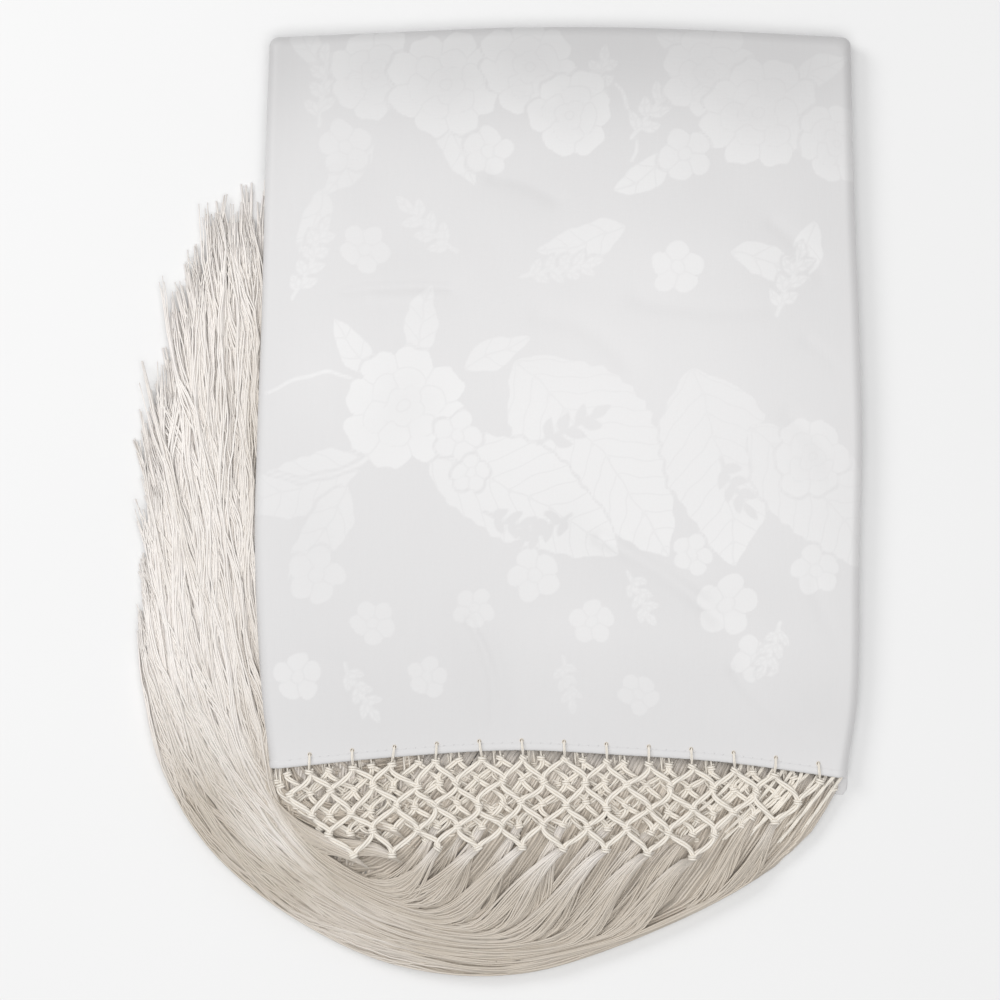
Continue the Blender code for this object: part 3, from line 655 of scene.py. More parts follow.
def add_piece(name, points, faces, material, values=None, crisp=False):
    """Makes a smooth piece, or one with crisp edges, from points in millimetres and arrays of like faces."""
    places = np.asarray(points, float).reshape(-1, 3) * MM
    corners = np.concatenate([np.asarray(part, np.int32).reshape(-1) for part in faces])
    sizes = np.concatenate([np.full(len(part), np.shape(part)[1], np.int32) for part in faces])
    starts = np.concatenate([[0], np.cumsum(sizes)[:-1]]).astype(np.int32)
    mesh = bpy.data.meshes.new(name)
    mesh.vertices.add(len(places))
    mesh.vertices.foreach_set("co", places.astype(np.float32).ravel())
    mesh.loops.add(len(corners))
    mesh.loops.foreach_set("vertex_index", corners)
    mesh.polygons.add(len(sizes))
    mesh.polygons.foreach_set("loop_start", starts)
    mesh.polygons.foreach_set("use_smooth", np.ones(len(sizes), bool))
    mesh.update(calc_edges=True)
    if crisp:
        mesh.set_sharp_from_angle(angle=CRISP_ANGLE)
    for label, numbers in (values or {}).items():
        layer = mesh.attributes.new(label, "FLOAT", "POINT")
        layer.data.foreach_set("value", np.asarray(numbers, np.float32).ravel())
    mesh.materials.append(material)
    piece = bpy.data.objects.new(name, mesh)
    bpy.context.scene.collection.objects.link(piece)
    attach(piece, "root")
    return piece


def walls_between(index):
    """Quads between each ring of point numbers and the next, for every stack of rings."""
    beside = np.roll(index, -1, axis=2)
    return np.stack([index[:, :-1], index[:, 1:], beside[:, 1:], beside[:, :-1]], axis=-1).reshape(-1, 4)


def frames(lines, reference):
    """Two directions square to each line at each of its points."""
    ahead = np.gradient(lines, axis=-2)
    ahead /= np.maximum(np.linalg.norm(ahead, axis=-1, keepdims=True), 1e-9)
    side = np.cross(ahead, np.broadcast_to(reference, ahead.shape))
    side /= np.maximum(np.linalg.norm(side, axis=-1, keepdims=True), 1e-9)
    return side, np.cross(side, ahead)


def tubes(lines, radii, sides, reference=UPWARDS, turn=0.0):
    """Points and faces of closed tubes along many lines with equal counts of points."""
    count, stations = lines.shape[:2]
    side, lift = frames(lines, reference)
    angles = turn + 2.0 * math.pi * np.arange(sides) / sides
    round_it = (
        np.cos(angles)[:, None] * side[:, :, None, :] + np.sin(angles)[:, None] * lift[:, :, None, :]
    )
    radii = np.broadcast_to(radii, (count, stations))
    points = lines[:, :, None, :] + radii[:, :, None, None] * round_it
    index = np.arange(count * stations * sides).reshape(count, stations, sides)
    return points.reshape(-1, 3), [walls_between(index), np.concatenate([index[:, 0], index[:, -1, ::-1]])]


def joined(parts):
    """One set of points and faces from several."""
    points = []
    faces = []
    start = 0
    for part_points, part_faces in parts:
        points.append(part_points)
        faces += [np.asarray(face) + start for face in part_faces]
        start += len(part_points)
    return np.concatenate(points), faces


def twisted(core, plies, ply_radius, lay_radius, turns, sides, reference=UPWARDS, phase=0.0):
    """A cord laid from several plies along many core lines."""
    side, lift = frames(core, reference)
    along = np.linspace(0.0, 1.0, core.shape[1])
    parts = []
    for ply in range(plies):
        angle = phase + 2.0 * math.pi * (ply / plies + turns * along)
        offset = np.cos(angle)[:, None] * side + np.sin(angle)[:, None] * lift
        parts.append(tubes(core + lay_radius * offset, ply_radius, sides, reference))
    return joined(parts)


def shader_of(name, roughness, sheen, sheen_roughness=0.4):
    """A new material, its node tree and its shader."""
    material = bpy.data.materials.new(name)
    material.use_nodes = True
    tree = material.node_tree
    shader = tree.nodes["Principled BSDF"]
    shader.inputs["Roughness"].default_value = roughness
    shader.inputs["Sheen Weight"].default_value = sheen
    shader.inputs["Sheen Roughness"].default_value = sheen_roughness
    shader.inputs["Metallic"].default_value = 0.0
    return material, tree, shader


def maths(tree, operation, first, second=None, third=None, clamp=False):
    """A Math node on sockets or numbers, as its result's socket."""
    node = tree.nodes.new("ShaderNodeMath")
    node.operation = operation
    node.use_clamp = clamp
    for index, given in enumerate((first, second, third)):
        if given is None:
            continue
        if isinstance(given, (int, float)):
            node.inputs[index].default_value = given
        else:
            tree.links.new(given, node.inputs[index])
    return node.outputs[0]


def attribute(tree, name):
    """The piece's own attribute, as a socket."""
    node = tree.nodes.new("ShaderNodeAttribute")
    node.attribute_name = name
    return node.outputs["Fac"]


def noise(tree, scale, detail, stretch=(1.0, 1.0, 1.0), turn=0.0):
    """Noise on the piece's own place, with scale in patches for each metre."""
    places = tree.nodes.new("ShaderNodeTexCoord")
    mapping = tree.nodes.new("ShaderNodeMapping")
    mapping.inputs["Scale"].default_value = stretch
    mapping.inputs["Rotation"].default_value = (0.0, 0.0, turn)
    node = tree.nodes.new("ShaderNodeTexNoise")
    node.inputs["Scale"].default_value = scale
    node.inputs["Detail"].default_value = detail
    tree.links.new(places.outputs["Object"], mapping.inputs["Vector"])
    tree.links.new(mapping.outputs["Vector"], node.inputs["Vector"])
    return node.outputs["Fac"]


def mixed(tree, share, first, second):
    """A colour between two colours or colour sockets."""
    node = tree.nodes.new("ShaderNodeMix")
    node.data_type = "RGBA"
    tree.links.new(share, node.inputs["Factor"])
    for socket, given in ((node.inputs[6], first), (node.inputs[7], second)):
        if isinstance(given, bpy.types.NodeSocket):
            tree.links.new(given, socket)
        else:
            socket.default_value = (*given, 1.0)
    return node.outputs[2]


def raised(tree, shader, height, distance, strength):
    """Bump from a height socket, with its distance in metres."""
    node = tree.nodes.new("ShaderNodeBump")
    node.inputs["Strength"].default_value = strength
    node.inputs["Distance"].default_value = distance
    tree.links.new(height, node.inputs["Height"])
    tree.links.new(node.outputs["Normal"], shader.inputs["Normal"])


def weave_height(tree):
    """The height of a fine, slightly uneven silk weave."""
    warp = noise(tree, 300.0, 1.0, (6.0, 0.6, 6.0))
    weft = noise(tree, 300.0, 1.0, (0.6, 6.0, 6.0))
    return maths(tree, "ADD", warp, weft)


def silk_material(cloth, name, patterned, with_painted_light=False):
    """The silk: satin figures on a plain ground where the leaf is patterned, and broad patches of painted
    light, shade and sheen where asked.
    """
    material, tree, shader = shader_of(name, 0.44, 0.25)
    slub = noise(tree, 120.0, 3.0, (5.0, 0.5, 1.0))
    cloudy = noise(tree, 14.0, 2.0)
    darker = tuple(0.965 * part for part in cloth.ground)
    ground = mixed(tree, maths(tree, "MULTIPLY_ADD", slub, 0.5, maths(tree, "MULTIPLY", cloudy, 0.5)),
                   darker, tuple(cloth.ground))
    height = weave_height(tree)
    colour = ground
    if patterned:
        inside = maths(tree, "MULTIPLY_ADD", attribute(tree, "figure"), 0.9, 0.5, clamp=True)
        vein = maths(tree, "ABSOLUTE", attribute(tree, "vein"))
        between = maths(tree, "MULTIPLY_ADD", vein, 0.7, 0.48, clamp=True)
        satin = maths(tree, "MULTIPLY", inside, between)
        share = maths(tree, "MULTIPLY", satin, attribute(tree, "tone"))
        colour = mixed(tree, share, ground, tuple(cloth.figure))
        tree.links.new(maths(tree, "MULTIPLY_ADD", satin, -0.08, 0.46), shader.inputs["Roughness"])
        height = maths(tree, "MULTIPLY_ADD", satin, 0.8, height)
    # Multiplies in the broad patches of painted light, shade and sheen, with their uneven tone
    if with_painted_light:
        wash = tree.nodes.new("ShaderNodeMix")
        wash.data_type = "RGBA"
        wash.blend_type = "MULTIPLY"
        wash.inputs["Factor"].default_value = 1.0
        tree.links.new(colour, wash.inputs[6])
        tree.links.new(attribute(tree, "wash"), wash.inputs[7])
        colour = wash.outputs[2]
    tree.links.new(colour, shader.inputs["Base Color"])
    raised(tree, shader, height, 0.00012, 0.35)
    return material


def thread_material(name, colour, shaded, roughness, sheen):
    """Silk thread: its colour deepens with its painted shade and some random tone, and its lay shows as fine
    ribs.
    """
    material, tree, shader = shader_of(name, roughness, sheen)
    patch = noise(tree, 60.0, 2.0)
    share = maths(tree, "ADD", attribute(tree, "shade"), maths(tree, "MULTIPLY_ADD", patch, 0.3, -0.15),
                  clamp=True)
    tree.links.new(mixed(tree, share, tuple(colour), tuple(shaded)), shader.inputs["Base Color"])
    raised(tree, shader, noise(tree, 1500.0, 2.0), 0.0001, 0.3)
    return material


def plain_material(name, colour, roughness):
    """A matt finish with a faint mottle."""
    material, tree, shader = shader_of(name, roughness, 0.0)
    darker = tuple(0.985 * part for part in colour)
    tree.links.new(mixed(tree, noise(tree, 8.0, 2.0), darker, tuple(colour)), shader.inputs["Base Color"])
    return material


def signed_least(*fields):
    """The least size among fields whose zeros are lines, with a sign that turns at every line."""
    sizes = np.abs(np.stack(fields))
    sign = np.prod(np.where(np.stack(fields) < 0.0, -1.0, 1.0), axis=0)
    return sign * sizes.min(axis=0)


def turned(x, y, motif):
    """Places seen from a motif's base, along it and across it."""
    turn = math.radians(motif.turn)
    dx = x - motif.x
    dy = y - motif.y
    return dx * math.cos(turn) + dy * math.sin(turn), dy * math.cos(turn) - dx * math.sin(turn)


def rose(x, y, motif):
    """A garden rose seen from its face: three rings of lobed petals round a small heart."""
    along, aside = turned(x, y, motif)
    away = np.hypot(along, aside)
    angle = np.arctan2(aside, along)
    away = away * (1.0 + 0.05 * np.sin(2.0 * angle + motif.x) + 0.03 * np.sin(3.0 * angle + motif.y))
    size = motif.size
    n = motif.count
    lobes = np.abs(np.cos(n * angle / 2.0))
    notch = np.exp(-((1.0 - lobes) / 0.10) ** 2)
    outer = size * (0.78 + 0.22 * lobes ** 0.6 - 0.05 * notch)
    middle = size * (0.50 + 0.14 * np.abs(np.cos((n - 2) * angle / 2.0 + 0.7)) ** 0.7)
    inner = size * (0.25 + 0.09 * np.abs(np.cos((n - 3) * angle / 2.0 + 1.9)))
    heart = size * 0.10
    outer_split = away * np.cos(n * angle / 2.0) * 2.0 / n
    middle_split = away * np.cos((n - 2) * angle / 2.0 + 0.7) * 2.0 / (n - 2)
    split = np.where(away > middle, outer_split, np.where(away > inner, middle_split, size))
    line = signed_least(middle - away, inner - away, heart - away, split)
    tone = 0.55 + 0.45 * ease(away / outer)
    return outer - away, line, tone


def blossom(x, y, motif):
    """A small open blossom of rounded petals."""
    along, aside = turned(x, y, motif)
    away = np.hypot(along, aside)
    angle = np.arctan2(aside, along)
    outer = motif.size * (0.62 + 0.38 * np.abs(np.cos(motif.count * angle / 2.0)) ** 0.5)
    heart = motif.size * 0.26
    split = away * np.cos(motif.count * angle / 2.0) * 2.0 / motif.count
    line = signed_least(heart - away, np.where(away > heart, split, motif.size))
    return outer - away, line, np.full_like(x, 0.8)


def leaf_shape(along, aside, length, width, teeth):
    """A pointed leaf with a toothed edge, its midrib and its veins."""
    share = np.clip(along / length, 0.0, 1.0)
    half = width / 2.0 * np.sin(math.pi * share ** 0.8) ** 0.85
    half = half * (1.0 + 0.07 * (1.0 - 2.0 * np.abs((share * teeth) % 1.0 - 0.5)))
    beyond = np.maximum(np.maximum(-along, along - length), 0.0)
    inside = half - np.abs(aside) - beyond
    spacing = length / max(teeth, 3) * 1.3
    vein = spacing / math.pi * np.sin(math.pi * (along - 0.85 * np.abs(aside)) / spacing)
    return inside, signed_least(aside, vein)


def leaf(x, y, motif):
    """A single leaf, whose count is its width."""
    along, aside = turned(x, y, motif)
    share = np.clip(along / motif.size, 0.0, 1.0)
    aside = aside - 0.16 * motif.size * share * (1.0 - share)
    inside, line = leaf_shape(along, aside, motif.size, motif.count, max(4, round(motif.size / 8.0)))
    return inside, line, 0.75 + 0.25 * share


def stem(x, y, motif):
    """A bowed stem, whose count is how far it bows."""
    along, aside = turned(x, y, motif)
    share = np.clip(along / motif.size, 0.0, 1.0)
    aside = aside - motif.count * 4.0 * share * (1.0 - share)
    beyond = np.maximum(np.maximum(-along, along - motif.size), 0.0)
    inside = 0.9 - np.hypot(aside, beyond)
    return inside, np.full_like(x, 9.0), np.full_like(x, 0.9)


def sprig(x, y, motif):
    """A stem with pairs of leaflets and one at its end."""
    inside, line, tone = stem(x, y, motif._replace(count=0))
    along, aside = turned(x, y, motif)
    step = motif.size / (motif.count + 1)
    parts = [(motif.size * 0.86, 0.0)]
    for pair in range(motif.count):
        parts += [(step * (pair + 0.6), 48.0), (step * (pair + 0.85), -44.0)]
    for base, degrees in parts:
        lean = math.radians(degrees)
        u = (along - base) * math.cos(lean) + aside * math.sin(lean)
        v = aside * math.cos(lean) - (along - base) * math.sin(lean)
        part_inside, part_line = leaf_shape(u, v, step * 1.25, step * 0.62, 3)
        line = np.where(part_inside > -MOTIF_GAP / 2, part_line, line)
        inside = np.maximum(part_inside, inside)
    return inside, line, tone


SHAPES = {"rose": rose, "blossom": blossom, "leaf": leaf, "stem": stem, "sprig": sprig, "cut": sprig}


def jacquard(x, y):
    """The signed distance into the satin figures, that from their inner lines, and their strength."""
    warp_x = x + 0.7 * np.sin(0.21 * y + 0.4) + 0.4 * np.sin(0.47 * y + 0.13 * x)
    warp_y = y + 0.7 * np.sin(0.19 * x + 1.1) + 0.4 * np.sin(0.43 * x - 0.17 * y)
    figure = np.full_like(x, -30.0)
    vein = np.full_like(x, 9.0)
    tone = np.zeros_like(x)
    for motif in MOTIFS:
        inside, line, strength = SHAPES[motif.kind](warp_x, warp_y, motif)
        if motif.kind == "cut":
            figure = np.minimum(figure, -inside)
            continue
        covers = inside > -MOTIF_GAP / 2
        figure = np.maximum(inside, np.minimum(figure, -inside - MOTIF_GAP))
        vein = np.where(covers, line, vein)
        tone = np.where(covers, strength, tone)
    return figure, vein, tone * (0.75 + 0.25 * np.sin(0.02 * x + 0.035 * y + 1.0))


def leaf_surface(columns, rows, depth, degrees):
    """The leaf's face and its three rolled edges: points, the places that its pattern reads, and faces."""
    flat = leaf_grid(columns, rows, depth, True)
    across, up, line = rim(columns, rows, False)
    edge = flat_part(across, up, depth, True)[:, :2]
    outward = roll_point(across, up, 90.0, 0.0, True)[:, :2] - edge
    outward /= np.linalg.norm(outward, axis=1, keepdims=True)
    rings = [roll_point(across, up, turn, depth, True) for turn in degrees]
    pattern = [edge + outward * ROLL_RADIUS * math.radians(turn) for turn in degrees]
    faces, lines = stacked(rings, line, len(flat), False)
    faces = np.concatenate([grid_faces(columns, rows), *faces])
    return np.concatenate([flat, *rings]), np.concatenate([flat[:, :2], *pattern]), faces, lines


def closed_leaf(columns, rows, coarser, wall):
    """The front leaf as a closed thin shell, whose hidden side has fewer faces."""
    degrees = np.linspace(0.0, ROLL_END, 11)[1:]
    outer, pattern, outer_faces, outer_lines = leaf_surface(columns, rows, 0.0, degrees)
    inner, _, inner_faces, inner_lines = leaf_surface(columns // coarser, rows // coarser, wall, degrees)
    start = len(outer)
    inner_faces = inner_faces[:, ::-1] + start
    inner_lines = [line + start for line in inner_lines]
    fine = outer_lines[-1]
    coarse = inner_lines[-1]
    rim_faces = [
        [*fine[k * coarser:(k + 1) * coarser + 1], coarse[k + 1], coarse[k]] for k in range(len(coarse) - 1)
    ]
    for k in range(columns // coarser):
        upper = list(range(k * coarser, (k + 1) * coarser + 1))
        rim_faces.append([*reversed(upper), start + k, start + k + 1])
    ends = []
    for level in range(len(degrees)):
        a, b = outer_lines[level], outer_lines[level + 1]
        c, d = inner_lines[level], inner_lines[level + 1]
        ends += [[a[0], b[0], d[0], c[0]], [b[-1], a[-1], c[-1], d[-1]]]
    points = np.concatenate([outer, inner])
    return points, [outer_faces, inner_faces, np.array(rim_faces), np.array(ends)], pattern


def spotted(spots, x, y):
    """What soft spots add up to at places."""
    total = np.zeros_like(x)
    for spot in spots:
        away = ((x - spot.x) / spot.reach_x) ** 2 + ((y - spot.y) / spot.reach_y) ** 2
        total += spot.amount * np.exp(-away)
    return total


def broad_light_and_tone(points):
    """How much the broad patches of painted light, shade and sheen, and of uneven tone, lighten or darken the
    silk at points.
    """
    return 1.0 + LIGHT_AND_TONE_DEPTH * spotted(LIGHT_AND_TONE_PATCHES, points[:, 0], points[:, 1])


class SHAWL_OT_front_leaf(bpy.types.Operator):
    """Makes the leaf of silk jacquard that shows whole, with its rolled edges and creases"""

    bl_idname = "shawl.front_leaf"
    bl_label = "Front leaf"

    def execute(self, context):
        cloth = context.scene.shawl_cloth
        points, faces, pattern = closed_leaf(cloth.columns, cloth.rows, INNER_COARSER, cloth.wall / MM)
        hidden = len(points) - len(pattern)
        figure, vein, tone = (
            np.concatenate([field, np.zeros(hidden)]) for field in jacquard(pattern[:, 0], pattern[:, 1])
        )
        material = silk_material(cloth, "silk_jacquard_figured", patterned=True, with_painted_light=True)
        # The last attribute carries the broad patches of painted light, shade and sheen
        values = {"figure": figure, "vein": vein, "tone": tone, "wash": broad_light_and_tone(points)}
        piece = add_piece("silk_front_leaf", points, faces, material, values, crisp=True)
        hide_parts("front_panel")
        return {"FINISHED"}


def leaf_levels():
    """The rings round the hidden leaves, from the top: leaf, set-in and height as a share of the stack."""
    total = sum(row.share for row in LEAF_EDGES)
    top = 1.0
    levels = []
    for number, row in enumerate(LEAF_EDGES):
        share = row.share / total
        for part, groove in LEAF_PROFILE:
            levels.append((number, groove * LEAF_GROOVE, top - part * share))
        top -= share
    levels.append((len(LEAF_EDGES) - 1, LEAF_GROOVE, 0.0))
    return levels


def leaf_ring(number, set_in, fraction, across, up, draw_waves):
    """One line round the hidden leaves."""
    row = LEAF_EDGES[number]
    run = 4.0 * (across + up) + 2.0 * across * up
    waves = sum(size * np.sin(pace * run + phase) for size, pace, phase in draw_waves[number])
    x, y = plan_point(
        across, up, row.left + set_in + waves, row.right + set_in - waves,
        row.top + set_in + 0.5 * waves, row.hem + set_in, True,
    )
    lip = roll_point(across, up, LIP_TURN, LEAF_WALL, False)[:, 2] - GAP
    height = STACK_FLOOR + fraction * (lip - STACK_FLOOR)
    height += 0.12 * np.sin(3.1 * run + number) * math.sin(math.pi * fraction)
    return placed(x, y, height)


class SHAWL_OT_leaves_between(bpy.types.Operator):
    """Makes the hidden leaves between, one rounded stack whose leaves show at its edges"""

    bl_idname = "shawl.leaves_between"
    bl_label = "Leaves between"

    def execute(self, context):
        depth = LEAF_WALL + GAP
        flat = leaf_grid(HIDDEN_COLUMNS, HIDDEN_ROWS, depth, False)
        across, up, line = rim(HIDDEN_COLUMNS, HIDDEN_ROWS, True)
        draw = random.Random(5)
        waves = [
            [(draw.uniform(0.10, 0.32), draw.uniform(3.0, 14.0), draw.uniform(0.0, 6.3)) for _ in range(3)]
            for _ in LEAF_EDGES
        ]
        rings = [roll_point(across, up, turn, depth, False) for turn in (20.0, 40.0, 60.0, 78.0, LIP_TURN)]
        rings += [leaf_ring(*level, across, up, waves) for level in leaf_levels()]
        faces, lines = stacked(rings, line, len(flat), True)
        faces = [grid_faces(HIDDEN_COLUMNS, HIDDEN_ROWS), *faces, lines[-1][None, :]]
        material = silk_material(context.scene.shawl_cloth, "silk_leaf_edges", patterned=False)
        points = np.concatenate([flat, *rings])
        piece = add_piece("silk_leaves_between", points, faces, material)
        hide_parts("folded_layers")
        return {"FINISHED"}


def back_outline(set_in):
    """The back leaf's edge in plan, with the corner that shows below the hem."""
    across, up, _ = rim(BACK_COLUMNS, BACK_ROWS, True)
    side = BACK_SET_IN + set_in
    hem = BACK_HEM_SET_IN + set_in
    x, y = plan_point(across, up, side, side, side, hem, True)
    points = []
    right = PEEK_TO_X - set_in
    left = PEEK_FROM_X + set_in
    low = PEEK_Y + set_in
    for over, above, px, py in zip(across, up, x, y):
        if over == 1.0 and above == 0.0:
            points += [(right, low + reach * PEEK_RADIUS) for reach in (6.0, 4.0, 2.0)]
            points += [(right - 0.4, low + PEEK_RADIUS), (right - PEEK_RADIUS, low)]
            points += [(left + PEEK_RADIUS, low + 0.3), (left, low + PEEK_RADIUS)]
            points.append((left - 0.4, float(hem_y_at(left)) + hem))
        elif above > 0.0 and not (over == 1.0 and py < PEEK_END):
            points.append((px, py))
        elif above == 0.0 and px < PEEK_FROM_X - 2.0:
            points.append((px, py))
    return np.array(points)


class SHAWL_OT_back_leaf(bpy.types.Operator):
    """Makes the lowest leaf, flat on the surface, with the corner that shows below the hem"""

    bl_idname = "shawl.back_leaf"
    bl_label = "Back leaf"

    def execute(self, context):
        rings = [placed(*back_outline(set_in).T, height) for set_in, height in BACK_PROFILE]
        first = np.arange(len(rings[0]))
        faces, lines = stacked(rings[1:], first, len(first), True)
        faces = [first[None, :], *(face[:, ::-1] for face in faces), lines[-1][None, ::-1]]
        material = silk_material(context.scene.shawl_cloth, "silk_back_leaf", patterned=False)
        piece = add_piece("silk_back_leaf", np.concatenate(rings), faces, material)
        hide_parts("back_panel")
        return {"FINISHED"}


def hem_spine(count):
    """Points along the hem, over both rolled corners, and how far each leans."""
    degrees = np.linspace(ROLL_END, 8.0, 12)
    zeros = np.zeros(1)
    left = [roll_point(zeros, zeros, turn, 0.0, True)[0] for turn in degrees]
    right = [roll_point(zeros + 1.0, zeros, turn, 0.0, True)[0] for turn in degrees[::-1]]
    across = np.linspace(0.0, 1.0, count)
    middle = flat_part(across, np.zeros(count), 0.0, True)
    lean = np.concatenate([-np.radians(degrees), np.zeros(count), np.radians(degrees[::-1])])
    return np.concatenate([left, middle, right]), lean


class SHAWL_OT_hem(bpy.types.Operator):
    """Makes the narrow rolled hem, its slip stitches, and the worked holes that the cords pass through"""

    bl_idname = "shawl.hem"
    bl_label = "Hem"

    def execute(self, context):
        spine, lean = hem_spine(560)
        run = np.concatenate([[0.0], np.cumsum(np.linalg.norm(np.diff(spine, axis=0), axis=1))])
        angles = np.linspace(0.0, 2.0 * math.pi, 14, endpoint=False)
        pull = 1.0 - 0.04 * np.exp(-((((run / STITCH_PITCH) % 1.0) - 0.5) / 0.14) ** 2)
        out = 1.45 + 2.27 * np.cos(angles)[None, :] * pull[:, None]
        rise = -0.50 + 0.72 * np.sin(angles)[None, :] * pull[:, None]
        x = spine[:, None, 0] + rise * np.sin(lean)[:, None]
        z = spine[:, None, 2] + rise * np.cos(lean)[:, None]
        points = placed(x, spine[:, None, 1] - out, z)
        index = np.arange(out.size).reshape(1, *out.shape)
        faces = [walls_between(index)[:, ::-1], index[0, :1, ::-1], index[0, -1:]]
        points = points.reshape(-1, 3)
        cloth = context.scene.shawl_cloth
        # The hem takes the same broad patches of painted light, shade and sheen
        material = silk_material(cloth, "silk_hem", patterned=False, with_painted_light=True)
        hem = add_piece("rolled_hem", points, faces, material, {"wash": broad_light_and_tone(points)})
        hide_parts("front_hem")
        self.add_stitches(spine, run, cloth)
        self.add_holes(context)
        return {"FINISHED"}

    def add_stitches(self, spine, run, cloth):
        """Slanted slip stitches along the hem's upper edge."""
        draw = random.Random(9)
        lines = []
        for place in np.arange(14.0, run[-1] - 14.0, STITCH_PITCH):
            x, y, z = (float(np.interp(place, run, spine[:, axis])) for axis in range(3))
            lean = draw.uniform(-0.25, 0.25)
            along = np.linspace(-1.0, 1.0, 5)
            bow = 0.16 * (1.0 - along ** 2)
            lines.append(placed(x + 0.5 * along + lean, y - 0.1 + 0.45 * along, z + 0.02 + bow))
        points, faces = tubes(np.array(lines), 0.11, 5)
        material = thread_material("silk_sewing_thread", cloth.figure, (0.5, 0.45, 0.38), 0.4, 0.2)
        add_piece("hem_stitches", points, faces, material, {"shade": np.zeros(len(points))})

    def add_holes(self, context):
        """A worked ring round each hole, and a dark disc in the hole as its painted shadow."""
        rings = []
        darks = []
        full = 2.0 * math.pi
        for hole in range(HOLES):
            x = FIRST_HOLE_X + HOLE_PITCH * hole
            y = float(hem_y_at(x)) + HOLE_UP
            z = hem_face_height(x, y)
            rings.append(oval(x, y, z + 0.12, 0.85, 0.95, np.linspace(0.0, full, 17)))
            fan = np.linspace(0.0, full, HOLE_SHADOW_SIDES, endpoint=False)
            darks += [oval(x, y, z + level, 0.72, 0.8, fan) for level in (0.16, 0.03)]
        points, faces = tubes(np.array(rings), 0.2, 6)
        cord = context.scene.shawl_net.cord
        material = thread_material("hole_stitching", cord, (0.5, 0.42, 0.32), 0.45, 0.2)
        add_piece("hem_hole_rings", points, faces, material, {"shade": np.full(len(points), 0.2)})
        points = np.concatenate(darks)
        index = np.arange(len(points)).reshape(-1, 2, HOLE_SHADOW_SIDES)
        faces = [index[:, 0], index[:, 1, ::-1], walls_between(index)]
        # The dark disc is painted shadow, standing in for the shade inside the hole
        material = plain_material("hole_dark", (0.16, 0.12, 0.09), 0.9)
        add_piece("hem_hole_darks", points, faces, material)


def oval(x, y, z, half_width, half_height, turns):
    """Points round a small level oval."""
    return placed(x + half_width * np.cos(turns), y + half_height * np.sin(turns), z)


def hem_face_height(x, y):
    """The height of the front leaf near the hem."""
    left = side_x(0.0, "left") + ROLL_RADIUS
    right = side_x(0.0, "right") - ROLL_RADIUS
    across = np.clip((x - left) / (right - left), 0.0, 1.0)
    low = end_y(across, "hem") + HEM_SET_BACK
    high = end_y(across, "top") - ROLL_RADIUS
    up = np.clip((y - low) / (high - low), 0.0, 1.0)
    return float(top_height(across, up, np.asarray(x, float), np.asarray(y, float), True))


def sweep_point(share, station):
    """Places on the fringe's path: share runs from its inner edge, 0, to its outer edge, 1."""
    share = np.asarray(share, float)
    station = np.asarray(station, float)
    stations = np.arange(len(SWEEP))
    weights = (
        2.0 * (share - 0.5) * (share - 1.0),
        -4.0 * share * (share - 1.0),
        2.0 * share * (share - 0.5),
    )
    x = 0.0
    y = 0.0
    for weight, guide in zip(weights, ("inner", "middle", "outer")):
        x = x + weight * through(stations, column(SWEEP, guide + "_x"), station)
        y = y + weight * through(stations, column(SWEEP, guide + "_y"), station)
    return np.stack(np.broadcast_arrays(x, y), axis=-1)


def fringe_border(near):
    """The strips' line and the fringe's inner edge, with how near a knot may come to each."""
    steps = 40
    first = sweep_point(1.0 - np.arange(steps) / steps, 0.0)
    second = sweep_point(0.0, NET_STATIONS * np.arange(steps + 1) / steps)
    return np.concatenate([first, second]), np.array([near] * steps + [SWEEP_CLEARANCE] * (steps + 1))


def clear_of_fringe(x, y, border, needed):
    """Whether a knot lies inside the fringe's strips and its inner edge."""
    nearest = int(np.argmin(np.hypot(border[:-1, 0] - x, border[:-1, 1] - y)))
    run = border[nearest + 1] - border[nearest]
    run = run / np.linalg.norm(run)
    aside = run[0] * (y - border[nearest, 1]) - run[1] * (x - border[nearest, 0])
    return aside < -needed[nearest]


def net_knots(net):
    """The place of each knot, by row and column."""
    draw = random.Random(net.seed)
    border, needed = fringe_border(net.near)
    left = side_x(0.0, "left") + KNOT_RADIUS
    right = side_x(0.0, "right") - KNOT_RADIUS
    knots = {}
    for row in range(net.rows):
        for number in range(-1, HOLES + 1):
            x = FIRST_HOLE_X + HOLE_PITCH * (number + 0.5 * (row % 2) + net.shift)
            stray_x = draw.uniform(-net.stray, net.stray)
            stray_y = draw.uniform(-0.86 * net.stray, 0.86 * net.stray)
            y = float(hem_y_at(x)) - FIRST_KNOT_DROP - net.drop - row * ROW_PITCH
            if left < x < right and clear_of_fringe(x, y, border, needed):
                knots[(row, number)] = (x + stray_x, y + stray_y * min(row, 1))
    return knots


def net_links(knots):
    """The cords between the knots: each runs down to the next row's two neighbours."""
    links = []
    for row, number in knots:
        left = number - 1 if row % 2 == 0 else number
        for below in ((row + 1, left), (row + 1, left + 1)):
            if below in knots:
                links.append(((row, number), below))
    return links


def lowest_knots(net):
    """The knots that only a lock of fringe hangs from, from left to right."""
    knots = net_knots(net)
    upper = {link[0] for link in net_links(knots)}
    return sorted(knots[key] for key in knots if key not in upper)


def net_height(net, x, y):
    """The middle of a net's cords, sloping from the hem to the lowest row."""
    depth = FIRST_KNOT_DROP + (net.rows - 1) * ROW_PITCH
    share = np.clip((hem_y_at(x) - y) / depth, 0.0, 1.0)
    return net.hem_z + (net.low_z - net.hem_z) * share


